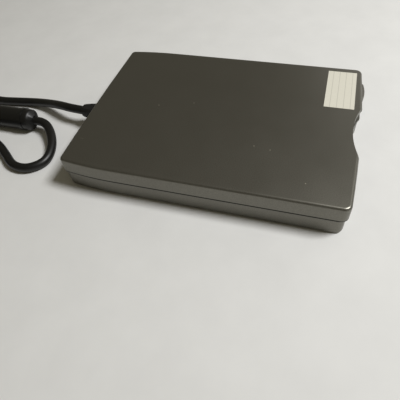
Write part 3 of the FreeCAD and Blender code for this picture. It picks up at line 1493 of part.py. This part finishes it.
faults = []
for item in doc.Objects:
    if "Invalid" in item.State or "Error" in item.State:
        faults.append(f"{item.Label}: {item.State}")
for item in nodes:
    if item.Shape.isNull() or not item.Shape.isValid():
        faults.append(f"{item.Label}: bad shape")
if faults:
    raise RuntimeError("; ".join(faults))

os.makedirs("parts", exist_ok=True)
for item in nodes:
    item.Shape.exportStep(f"parts/{item.Label}.step")
print(len(nodes), "nodes")
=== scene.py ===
"""Looks of the external floppy disk drive: finishes, the cord in one piece, table, light and camera.

Blender works in metres. Sizes here are in millimetres unless a comment says otherwise, and MM turns them
into metres.
"""

import json
import math

import bmesh
import bpy
from mathutils import Matrix, Vector


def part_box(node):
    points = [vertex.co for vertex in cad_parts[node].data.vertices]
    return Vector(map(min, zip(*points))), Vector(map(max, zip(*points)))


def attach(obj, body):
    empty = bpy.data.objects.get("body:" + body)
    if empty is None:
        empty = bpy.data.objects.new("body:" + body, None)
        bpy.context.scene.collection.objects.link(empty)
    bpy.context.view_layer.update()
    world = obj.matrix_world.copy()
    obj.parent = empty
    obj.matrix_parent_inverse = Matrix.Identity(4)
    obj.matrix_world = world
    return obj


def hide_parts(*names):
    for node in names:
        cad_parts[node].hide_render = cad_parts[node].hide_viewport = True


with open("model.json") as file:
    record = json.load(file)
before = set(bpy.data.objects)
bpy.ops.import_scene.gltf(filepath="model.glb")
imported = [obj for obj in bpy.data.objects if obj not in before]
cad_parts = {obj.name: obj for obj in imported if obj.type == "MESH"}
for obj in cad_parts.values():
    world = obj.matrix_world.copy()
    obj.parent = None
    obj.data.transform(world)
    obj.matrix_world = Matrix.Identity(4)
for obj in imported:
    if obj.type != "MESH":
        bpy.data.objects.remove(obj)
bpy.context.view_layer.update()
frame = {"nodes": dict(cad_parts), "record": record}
NODES = frame["nodes"]
BODIES = frame["record"]["behaviour"]["bodies"]
SLOT_OF = {part["node"]: part["material_slot"] for part in frame["record"]["subparts"]}
MM = 0.001

# Case. The painted shade of the parting line is full up to PARTING_DARK from it and gone at PARTING_CLEAR
PARTING_HEIGHT = 9.45
PARTING_DARK = 0.42
PARTING_CLEAR = 0.62
FLAKE_GRAIN = 0.45
LID_HEIGHT = 18.0
CHIPS = [(0.0, 34.6), (5.2, 16.1), (-21.4, -22.2), (-22.6, -30.2), (-40.3, -48.9)]
CHIP_RADIUS = 0.32

# Scratches: cells to the metre, drawn out along Y and turned by an angle in radians. A scratch lies about the
# middle of a cell, full up to SCRATCH_CORE of the cell's size from it and gone at SCRATCH_EDGE
SCRATCH_CELLS = 70.0
SCRATCH_STRETCH = (1.0, 0.10, 1.0)
SCRATCH_TURN = 0.35
SCRATCH_CORE = 0.004
SCRATCH_EDGE = 0.012
SCRATCH_STRENGTH = 0.35

# Label, cord jacket and table. A printed rule is full up to RULE_HALF_WIDTH and gone at RULE_FADED
RULE_SPACING = 3.4
RULE_HALF_WIDTH = 0.10
RULE_FADED = 0.22
PAPER_GRAIN = 0.5
PVC_GRAIN = 1.2
TABLE_GRAIN = 25.0

# Smoothed copies of moulded nodes: the weld is in metres, the angles in degrees
WELD = 1e-6
FLAT_ANGLE = 0.4
SHARP_ANGLE = 32.0

# Boot at the cord's exit: (y, middle x, middle z, half width, half height, chamfer) of each section
FLANGE_AND_BOOT = [
    (71.02, -2.0, 10.5, 4.6, 3.7, 0.8),
    (71.8, -2.0, 10.5, 4.6, 3.7, 0.8),
    (71.9, -2.9, 9.9, 4.0, 3.7, 0.9),
    (77.0, -2.95, 9.85, 3.8, 3.5, 1.2),
    (80.2, -3.0, 9.8, 3.5, 3.3, 1.5),
    (81.6, -3.0, 9.8, 3.2, 3.1, 1.7),
    (82.1, -3.0, 9.8, 2.6, 2.5, 1.6),
]
BOOT_EDGE = 0.25
BOOT_EDGE_SEGMENTS = 3

# Ribs on the plug's grip
RIB_COUNT = 6
RIB_SPACING = 1.9
RIB_LENGTH = 9.0
RIB_RADIUS = 0.45
RIB_SIDES = 16
RIB_FROM_END = 8.0
RIB_SUNK = 0.05

# Cord: the route's points, then the coil
CORD_RADIUS = 2.5
CORD_ROUNDNESS = 6
CORD_STEPS = 8
EXIT = (-3.0, 82.05, 9.8)
LEAD = [
    EXIT, (-2.6, 90.0, 9.8), (0.8, 100.0, 8.0), (4.6, 111.0, 5.0), (6.6, 123.5, 2.8),
    (5.2, 137.0, 2.5), (3.6, 150.5, 2.5), (9.0, 166.5, 2.5), (16.5, 185.0, 2.5), (11.0, 205.0, 2.5),
    (-8.5, 209.5, 2.5), (-20.0, 192.0, 3.4), (-17.5, 171.5, 5.6), (-13.5, 158.0, 6.5), (-13.5, 144.5, 6.5),
]
LOOP = [
    (-13.5, 110.0, 6.5), (-14.2, 102.5, 6.2), (-20.5, 95.8, 5.2), (-29.5, 90.5, 3.6), (-40.0, 89.0, 2.5),
    (-47.3, 96.5, 2.5), (-46.8, 106.5, 2.5), (-40.0, 115.0, 2.5), (-33.5, 124.0, 2.5), (-28.5, 135.5, 2.5),
    (-29.5, 148.0, 2.5),
]
COIL_START = (-29.5, 158.0)
COIL_RADIUS = 30.5
COIL_PITCH = 5.5
COIL_TURNS = 3
CLIMB_TURNS = 0.5
POINTS_PER_TURN = 20

# Steps from the coil's end: (x, y) along its upper layer, then (x, y, height over the table) on the way down
TAIL_ON_COIL = [(0.0, 5.0), (0.0, 18.0)]
TAIL_DOWN = [(-5.5, 32.0, 5.6), (-19.0, 42.0, 3.0), (-35.0, 42.0, 3.0)]

# Table, lamps and camera, in metres and watts
TABLE_HALF = 3.0
TABLE_LEVEL = -0.01 * MM
ROOM_STRENGTH = 0.15
KEY_PLACE = (0.08, -0.49, 0.78)
KEY_SIZE = (0.26, 0.26)
KEY_POWER = 7.9
WINDOW_PLACE = (0.85, -0.45, 0.38)
WINDOW_SIZE = (0.8, 0.6)
WINDOW_POWER = 0.8
EYE = (-0.1632, -0.04651, 0.15402)
EYE_RIGHT = (0.27614, -0.95817, -0.07517)
EYE_DOWN = (-0.75857, -0.16926, -0.62922)
EYE_FORWARD = (0.59018, 0.23077, -0.77359)
LENS_MM = 36.234
SENSOR_MM = 36.0
NEAREST_SEEN = 0.005


# Small helpers

def paint(hex_text):
    """An sRGB hex colour as the linear values that Blender's sockets take."""
    channels = [int(hex_text[i:i + 2], 16) / 255 for i in (1, 3, 5)]
    linear = [c / 12.92 if c <= 0.04045 else ((c + 0.055) / 1.055) ** 2.4 for c in channels]
    return (*linear, 1.0)


def add(material, kind, links=None, **settings):
    """Add a node. links are input -> output socket; settings are properties, or values of inputs as in_NAME."""
    item = material.node_tree.nodes.new(kind)
    for name, value in settings.items():
        if name.startswith("in_"):
            socket = name[3:]
            key = int(socket) if socket.isdigit() else socket.replace("_", " ")
            item.inputs[key].default_value = value
        else:
            setattr(item, name, value)
    for name, socket in (links or {}).items():
        material.node_tree.links.new(socket, item.inputs[name])
    return item


def link(material, source, shader, name):
    material.node_tree.links.new(source, shader.inputs[name])


def new_material(name):
    """A material with its shader and its Object coordinates, which are metres on the real object."""
    material = bpy.data.materials.new(name)
    material.use_nodes = True
    shader = material.node_tree.nodes["Principled BSDF"]
    place = add(material, "ShaderNodeTexCoord").outputs["Object"]
    return material, shader, place


def speckled(material, place, grain_mm, low, high, dark, light):
    """A colour that wanders between two shades, which the noise reaches at low and at high."""
    noise = add(material, "ShaderNodeTexNoise", {"Vector": place}, in_Scale=1000 / grain_mm, in_Detail=3.0,
                in_Roughness=0.6)
    ramp = add(material, "ShaderNodeValToRGB", {"Fac": noise.outputs["Fac"]})
    ramp.color_ramp.elements[0].position = low
    ramp.color_ramp.elements[0].color = dark
    ramp.color_ramp.elements[1].position = high
    ramp.color_ramp.elements[1].color = light
    return noise, ramp


def bumped(material, shader, height, strength, distance_mm):
    bump = add(material, "ShaderNodeBump", {"Height": height}, in_Strength=strength,
               in_Distance=distance_mm * MM)
    link(material, bump.outputs["Normal"], shader, "Normal")


def placed(name, data):
    """A new object at the origin, in the scene."""
    piece = bpy.data.objects.new(name, data)
    bpy.context.scene.collection.objects.link(piece)
    return piece


# Finishes

def nearest_chip(material, place):
    """Distance in metres from a point of the lacquer to the nearest chip on the lid."""
    nearest = None
    for x, y in CHIPS:
        reach = add(material, "ShaderNodeVectorMath", {0: place}, operation="DISTANCE",
                    in_1=(x * MM, y * MM, LID_HEIGHT * MM)).outputs["Value"]
        if nearest is not None:
            reach = add(material, "ShaderNodeMath", {0: reach, 1: nearest}, operation="MINIMUM").outputs[0]
        nearest = reach
    return nearest


def scratches(material, place):
    """Short thin scratches, very few and far apart: 1 on a scratch, 0 elsewhere."""
    stretched = add(material, "ShaderNodeMapping", {"Vector": place}, in_Scale=SCRATCH_STRETCH,
                    in_Rotation=(0.0, 0.0, SCRATCH_TURN))
    cells = add(material, "ShaderNodeTexVoronoi", {"Vector": stretched.outputs["Vector"]},
                in_Scale=SCRATCH_CELLS, in_Randomness=1.0)
    return add(material, "ShaderNodeMapRange", {"Value": cells.outputs["Distance"]}, in_From_Min=SCRATCH_CORE,
               in_From_Max=SCRATCH_EDGE, in_To_Min=1.0, in_To_Max=0.0).outputs["Result"]


def painted_parting_shade(material, place):
    """Painted shade: a factor that falls nearly to nothing close to the parting line, where the two covers
    meet.
    """
    height = add(material, "ShaderNodeSeparateXYZ", {"Vector": place}).outputs["Z"]
    above = add(material, "ShaderNodeMath", {0: height}, operation="SUBTRACT", in_1=PARTING_HEIGHT * MM)
    away = add(material, "ShaderNodeMath", {0: above.outputs[0]}, operation="ABSOLUTE")
    return add(material, "ShaderNodeMapRange", {"Value": away.outputs[0]}, in_From_Min=PARTING_DARK * MM,
               in_From_Max=PARTING_CLEAR * MM, in_To_Min=0.02, in_To_Max=1.0).outputs["Result"]


def lacquered_shell():
    """Case covers: moulded ABS under a fine metallic lacquer, grey-brown with a soft broad shine.

    Painted shade darkens the lacquer beside the parting line, where the gap between the covers lies in shadow.
    Handling has left a few pale chips on the lid and a faint scratch or two. The flakes are drawn coarser than
    real ones, so that they show.
    """
    material, shader, place = new_material("lacquered_abs")
    flakes, ramp = speckled(material, place, FLAKE_GRAIN, 0.35, 0.68, paint("#716F67"), paint("#7F7D75"))
    # Painted shade: the flakes' colour is darkened beside the parting line
    tone = add(material, "ShaderNodeMix", {6: ramp.outputs["Color"], 7: painted_parting_shade(material, place)},
               data_type="RGBA", blend_type="MULTIPLY", in_0=1.0)
    chip = add(material, "ShaderNodeMapRange", {"Value": nearest_chip(material, place)},
               in_From_Min=0.5 * CHIP_RADIUS * MM, in_From_Max=CHIP_RADIUS * MM, in_To_Min=1.0, in_To_Max=0.0)
    wear = add(material, "ShaderNodeMath", {0: scratches(material, place)}, operation="MULTIPLY",
               in_1=SCRATCH_STRENGTH)
    worn = add(material, "ShaderNodeMath", {0: chip.outputs["Result"], 1: wear.outputs[0]}, operation="MAXIMUM")
    pale = add(material, "ShaderNodeMix", {0: worn.outputs[0], 6: tone.outputs[2]}, data_type="RGBA",
               in_7=paint("#D8D4C4"))
    link(material, pale.outputs[2], shader, "Base Color")
    shader.inputs["Metallic"].default_value = 0.85
    shader.inputs["IOR"].default_value = 1.5
    broad = add(material, "ShaderNodeTexNoise", {"Vector": place}, in_Scale=60.0, in_Detail=4.0)
    rough = add(material, "ShaderNodeMapRange", {"Value": broad.outputs["Fac"]}, in_To_Min=0.32, in_To_Max=0.40)
    link(material, rough.outputs["Result"], shader, "Roughness")
    bumped(material, shader, flakes.outputs["Fac"], strength=0.25, distance_mm=0.02)
    return material


def cord_jacket():
    """Soft extruded PVC: nearly black, satin, with a faint orange-peel skin that breaks up its highlights."""
    material, shader, place = new_material("black_pvc")
    fine, ramp = speckled(material, place, PVC_GRAIN, 0.3, 0.7, paint("#0B0B0A"), paint("#121211"))
    link(material, ramp.outputs["Color"], shader, "Base Color")
    shader.inputs["Roughness"].default_value = 0.42
    bumped(material, shader, fine.outputs["Fac"], strength=0.15, distance_mm=0.03)
    return material


def ruled_paper():
    """Uncoated label paper: warm white, matt and slightly fibrous, with faint printed rules across it."""
    material, shader, place = new_material("label_paper")
    fine, ramp = speckled(material, place, PAPER_GRAIN, 0.3, 0.7, paint("#D3D0C2"), paint("#DAD7C9"))
    along = add(material, "ShaderNodeSeparateXYZ", {"Vector": place}).outputs["Y"]
    rows = add(material, "ShaderNodeMath", {0: along}, operation="PINGPONG", in_1=0.5 * RULE_SPACING * MM)
    ink = add(material, "ShaderNodeMapRange", {"Value": rows.outputs[0]}, in_From_Min=RULE_HALF_WIDTH * MM,
              in_From_Max=RULE_FADED * MM, in_To_Min=0.30, in_To_Max=0.0)
    tone = add(material, "ShaderNodeMix", {0: ink.outputs["Result"], 6: ramp.outputs["Color"]},
               data_type="RGBA", in_7=paint("#77756C"))
    link(material, tone.outputs[2], shader, "Base Color")
    shader.inputs["Roughness"].default_value = 0.6
    bumped(material, shader, fine.outputs["Fac"], strength=0.1, distance_mm=0.02)
    return material


def simple(name, hex_dark, hex_light, grain_mm, roughness, metallic=0.0):
    """A finish with its own grain, used for metals, boards and inner plastics."""
    material, shader, place = new_material(name)
    fine, ramp = speckled(material, place, grain_mm, 0.3, 0.7, paint(hex_dark), paint(hex_light))
    link(material, ramp.outputs["Color"], shader, "Base Color")
    shader.inputs["Roughness"].default_value = roughness
    shader.inputs["Metallic"].default_value = metallic
    bumped(material, shader, fine.outputs["Fac"], strength=0.1, distance_mm=0.02)
    return material


# Each simple finish: its name, darker and lighter shade, grain in millimetres, roughness, metallic
FINISH = {
    "dark_plastic": lacquered_shell(),
    "cord_pvc": cord_jacket(),
    # Moulded rubber of the feet and the cord's boot: dull and nearly black, grey only where it faces a lamp
    "black_rubber": simple("moulded_rubber", "#0D0D0D", "#141413", 0.6, 0.6),
    "paper": ruled_paper(),
    # Zinc plate on sheet, rods, springs and screws: mid grey with soft, blurred reflections
    "steel": simple("zinc_plated_steel", "#9A9B98", "#B4B5B2", 0.8, 0.35, 1.0),
    # Nickel plate on the plug's drawn shell: pale, with sharper reflections than zinc
    "plated_steel": simple("nickel_plated_steel", "#C4C3BD", "#D2D1CB", 2.0, 0.22, 1.0),
    # Unfilled moulded nylon: milky white and half matt
    "white_plastic": simple("natural_nylon", "#D2D0C8", "#DEDCD4", 1.0, 0.5),
    # Moulded acetal: black with a waxy, low shine
    "black_plastic": simple("black_acetal", "#161616", "#202020", 0.8, 0.45),
    # Frosted lens, not lit: pale green and smooth at its face
    "clear_plastic": simple("frosted_acrylic", "#9FB08C", "#AFC09B", 1.0, 0.25),
    # Screened solder mask over copper: deep green and fairly glossy
    "circuit_board": simple("solder_mask", "#0E3A20", "#154B2A", 1.5, 0.3),
    # Wound wire under enamel: orange brown with a varnished glint
    "copper": simple("enamelled_copper", "#8A4A22", "#A85E30", 0.6, 0.35, 0.9),
    # Pressed and fired powder: charcoal, fine-grained and matt
    "ferrite": simple("sintered_ferrite", "#232324", "#2E2E30", 0.5, 0.6),
    # Die casting as it leaves the mould: grey with a slight sparkle
    "alloy": simple("die_cast_aluminium", "#8F8F8E", "#A3A3A1", 1.0, 0.4, 1.0),
    # Oil-filled sintered bronze: brown gold, porous and dull
    "bronze": simple("sintered_bronze", "#7A5A2E", "#8F6C3B", 0.5, 0.5, 0.9),
}


def dress(piece, finish):
    piece.data.materials.clear()
    piece.data.materials.append(finish)


for name, piece in NODES.items():
    dress(piece, FINISH[SLOT_OF[name]])


# Moulded nodes with their faces merged and smooth

def body_of_node(node):
    return [body for body, members in BODIES.items() if node in members][0]


def smoothed_copy(node):
    """The node's own solid, welded and smooth, with its edges kept sharp."""
    mesh = NODES[node].data.copy()
    work = bmesh.new()
    work.from_mesh(mesh)
    bmesh.ops.remove_doubles(work, verts=work.verts, dist=WELD)
    bmesh.ops.dissolve_limit(work, angle_limit=math.radians(FLAT_ANGLE), verts=work.verts, edges=work.edges)
    work.to_mesh(mesh)
    work.free()
    piece = placed(node + "_finished", mesh)
    for face in mesh.polygons:
        face.use_smooth = True
    mesh.set_sharp_from_angle(angle=math.radians(SHARP_ANGLE))
    dress(piece, FINISH[SLOT_OF[node]])
    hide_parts(node)
    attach(piece, body_of_node(node))


for name in ("top_cover", "bottom_cover", "eject_button", "ferrite_choke", "usb_plug_grip"):
    smoothed_copy(name)


# Boot where the cord leaves the case

def chamfered_rim(half_x, half_z, chamfer):
    """The eight corners of a rectangle with cut corners, in order."""
    a, b = half_x - chamfer, half_z - chamfer
    return [(half_x, b), (a, half_z), (-a, half_z), (-half_x, b),
            (-half_x, -b), (-a, -half_z), (a, -half_z), (half_x, -b)]


def relief_boot():
    """Moulded boot: a flange over the opening, then a chamfered block that narrows to the cord."""
    work = bmesh.new()
    rings = []
    for y, x, z, half_x, half_z, chamfer in FLANGE_AND_BOOT:
        rim = chamfered_rim(half_x, half_z, chamfer)
        rings.append([work.verts.new(((x + u) * MM, y * MM, (z + v) * MM)) for u, v in rim])
    for first, second in zip(rings, rings[1:]):
        for i in range(len(first)):
            following = (i + 1) % len(first)
            work.faces.new((first[i], first[following], second[following], second[i]))
    work.faces.new(rings[0])
    work.faces.new(rings[-1])
    bmesh.ops.recalc_face_normals(work, faces=work.faces)
    mesh = bpy.data.meshes.new("strain_relief_boot")
    work.to_mesh(mesh)
    work.free()
    piece = placed("strain_relief_boot", mesh)
    bevel = piece.modifiers.new("soft_edges", "BEVEL")
    bevel.width = BOOT_EDGE * MM
    bevel.segments = BOOT_EDGE_SEGMENTS
    for face in mesh.polygons:
        face.use_smooth = True
    dress(piece, FINISH["black_rubber"])
    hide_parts("strain_relief")
    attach(piece, "case")


relief_boot()


# Ribs on the plug's grip, repeated by nodes

def rib_tree():
    """Round ribs in a row along X, with their number, spacing, length, radius and start as inputs."""
    tree = bpy.data.node_groups.new("grip_ribs", "GeometryNodeTree")
    inputs = (("Ribs", "NodeSocketInt", RIB_COUNT), ("Spacing", "NodeSocketFloat", RIB_SPACING * MM),
              ("Length", "NodeSocketFloat", RIB_LENGTH * MM), ("Radius", "NodeSocketFloat", RIB_RADIUS * MM),
              ("Start", "NodeSocketVector", (0.0, 0.0, 0.0)))
    for name, kind, value in inputs:
        tree.interface.new_socket(name, in_out="INPUT", socket_type=kind).default_value = value
    tree.interface.new_socket("Geometry", in_out="OUTPUT", socket_type="NodeSocketGeometry")
    nodes, links = tree.nodes, tree.links
    given = nodes.new("NodeGroupInput").outputs

    step = nodes.new("ShaderNodeCombineXYZ")
    links.new(given["Spacing"], step.inputs["X"])
    row = nodes.new("GeometryNodeMeshLine")
    links.new(given["Ribs"], row.inputs["Count"])
    links.new(given["Start"], row.inputs["Start Location"])
    links.new(step.outputs[0], row.inputs["Offset"])

    rib = nodes.new("GeometryNodeMeshCylinder")
    rib.inputs["Vertices"].default_value = RIB_SIDES
    links.new(given["Radius"], rib.inputs["Radius"])
    links.new(given["Length"], rib.inputs["Depth"])
    laid = nodes.new("GeometryNodeTransform")
    laid.inputs["Rotation"].default_value = (math.pi / 2, 0.0, 0.0)
    links.new(rib.outputs["Mesh"], laid.inputs["Geometry"])

    spread = nodes.new("GeometryNodeInstanceOnPoints")
    links.new(row.outputs["Mesh"], spread.inputs["Points"])
    links.new(laid.outputs["Geometry"], spread.inputs["Instance"])
    solid = nodes.new("GeometryNodeRealizeInstances")
    links.new(spread.outputs["Instances"], solid.inputs["Geometry"])
    finish = nodes.new("GeometryNodeSetMaterial")
    finish.inputs["Material"].default_value = FINISH["cord_pvc"]
    links.new(solid.outputs["Geometry"], finish.inputs["Geometry"])
    links.new(finish.outputs["Geometry"], nodes.new("NodeGroupOutput").inputs["Geometry"])
    return tree


def grip_ribs():
    """Ribs across the grip's upper face, sunk in it nearly to their middles, where thumb and finger pull."""
    low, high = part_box("usb_plug_grip")
    tree = rib_tree()
    seed = placed("rib_seed", bpy.data.meshes.new("rib_seed"))
    modifier = seed.modifiers.new("ribs", "NODES")
    modifier.node_group = tree
    sockets = {item.name: item.identifier for item in tree.interface.items_tree if item.in_out == "INPUT"}
    start = (low[0] + RIB_FROM_END * MM, (low[1] + high[1]) / 2, high[2] - RIB_SUNK * MM)
    modifier[sockets["Start"]] = start
    view = bpy.context.evaluated_depsgraph_get()
    mesh = bpy.data.meshes.new_from_object(seed.evaluated_get(view))
    bpy.data.objects.remove(seed)
    piece = placed("plug_grip_ribs", mesh)
    for face in mesh.polygons:
        face.use_smooth = len(face.vertices) == 4
    dress(piece, FINISH["cord_pvc"])
    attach(piece, "case")


grip_ribs()


# The cord

def coil_points():
    """Turns that spiral in, climb a layer and spiral out again.

    A spline runs inside its control points on a bend, so these stand a little outside the turn's own radius.
    """
    outward = 1 / (0.5 + 0.5 * math.cos(math.pi / POINTS_PER_TURN))
    middle_x, middle_y = COIL_START[0] - COIL_RADIUS, COIL_START[1]
    climb_from = (COIL_TURNS - CLIMB_TURNS) / 2
    points = []
    for step in range(COIL_TURNS * POINTS_PER_TURN + 1):
        turn = step / POINTS_PER_TURN
        radius = (COIL_RADIUS - COIL_PITCH * min(turn, COIL_TURNS - turn)) * outward
        rise = min(max((turn - climb_from) / CLIMB_TURNS, 0.0), 1.0)
        angle = 2 * math.pi * turn
        points.append((middle_x + radius * math.cos(angle), middle_y + radius * math.sin(angle),
                       CORD_RADIUS + COIL_PITCH * rise))
    return points


def tail_points(end):
    """From the coil's upper layer down to the table and across to the plug."""
    x, y, z = COIL_START[0], end[1], end[2]
    steps = [(u, v, z) for u, v in TAIL_ON_COIL] + TAIL_DOWN
    return [(x + u, y + v, height) for u, v, height in steps]


def cord_curve():
    """One open spline from the boot, through the choke and the coil, to the plug."""
    turns = coil_points()
    points = LEAD + LOOP + turns + tail_points(turns[-1])
    data = bpy.data.curves.new("usb_cord", "CURVE")
    data.dimensions = "3D"
    data.bevel_depth = CORD_RADIUS * MM
    data.bevel_resolution = CORD_ROUNDNESS
    data.resolution_u = CORD_STEPS
    data.use_fill_caps = True
    spline = data.splines.new("NURBS")
    spline.points.add(len(points) - 1)
    for point, spot in zip(spline.points, points):
        point.co = (*[c * MM for c in spot], 1.0)
    spline.order_u = 3
    spline.use_endpoint_u = True
    piece = placed("usb_cord", data)
    data.materials.append(FINISH["cord_pvc"])
    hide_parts("cord_lead", "cord_loop", "cord_coil", "cord_tail")
    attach(piece, "case")
    return piece


cord = cord_curve()


# Table, light and camera

def table():
    """Pale painted table top, matt, a hair below the feet so that no two faces share a level."""
    half, level = TABLE_HALF, TABLE_LEVEL
    corners = [(-half, -half, level), (half, -half, level), (half, half, level), (-half, half, level)]
    mesh = bpy.data.meshes.new("table")
    mesh.from_pydata(corners, [], [(0, 1, 2, 3)])
    piece = placed("table", mesh)
    material, shader, place = new_material("painted_table")
    _, ramp = speckled(material, place, TABLE_GRAIN, 0.3, 0.7, paint("#DCDCDA"), paint("#E1E1DF"))
    link(material, ramp.outputs["Color"], shader, "Base Color")
    shader.inputs["Roughness"].default_value = 0.75
    mesh.materials.append(material)


def area_light(name, spot, size, power):
    """A rectangular lamp that faces the origin, which is under the middle of the case."""
    data = bpy.data.lights.new(name, "AREA")
    data.shape = "RECTANGLE"
    data.size, data.size_y = size
    data.energy = power
    lamp = placed(name, data)
    lamp.location = spot
    lamp.rotation_euler = (-Vector(spot)).to_track_quat("-Z", "Y").to_euler()


def room(colour, strength):
    """Dim warm light from all round, which the lacquer and the table share."""
    world = bpy.data.worlds.new("room")
    bpy.context.scene.world = world
    world.use_nodes = True
    back = world.node_tree.nodes["Background"]
    back.inputs["Color"].default_value = colour
    back.inputs["Strength"].default_value = strength


def camera():
    """The photograph's place and lens: held up at the left of the drive, looking down across it."""
    turn = Matrix((Vector(EYE_RIGHT), -Vector(EYE_DOWN), -Vector(EYE_FORWARD))).transposed().to_4x4()
    data = bpy.data.cameras.new("camera")
    data.sensor_width = SENSOR_MM
    data.lens = LENS_MM
    data.clip_start = NEAREST_SEEN
    eye = placed("camera", data)
    eye.matrix_world = Matrix.Translation(EYE) @ turn
    bpy.context.scene.camera = eye


table()
room(paint("#ECE2C4"), ROOM_STRENGTH)
area_light("key", KEY_PLACE, KEY_SIZE, KEY_POWER)
area_light("window", WINDOW_PLACE, WINDOW_SIZE, WINDOW_POWER)
camera()
bpy.context.scene.view_settings.view_transform = "Standard"
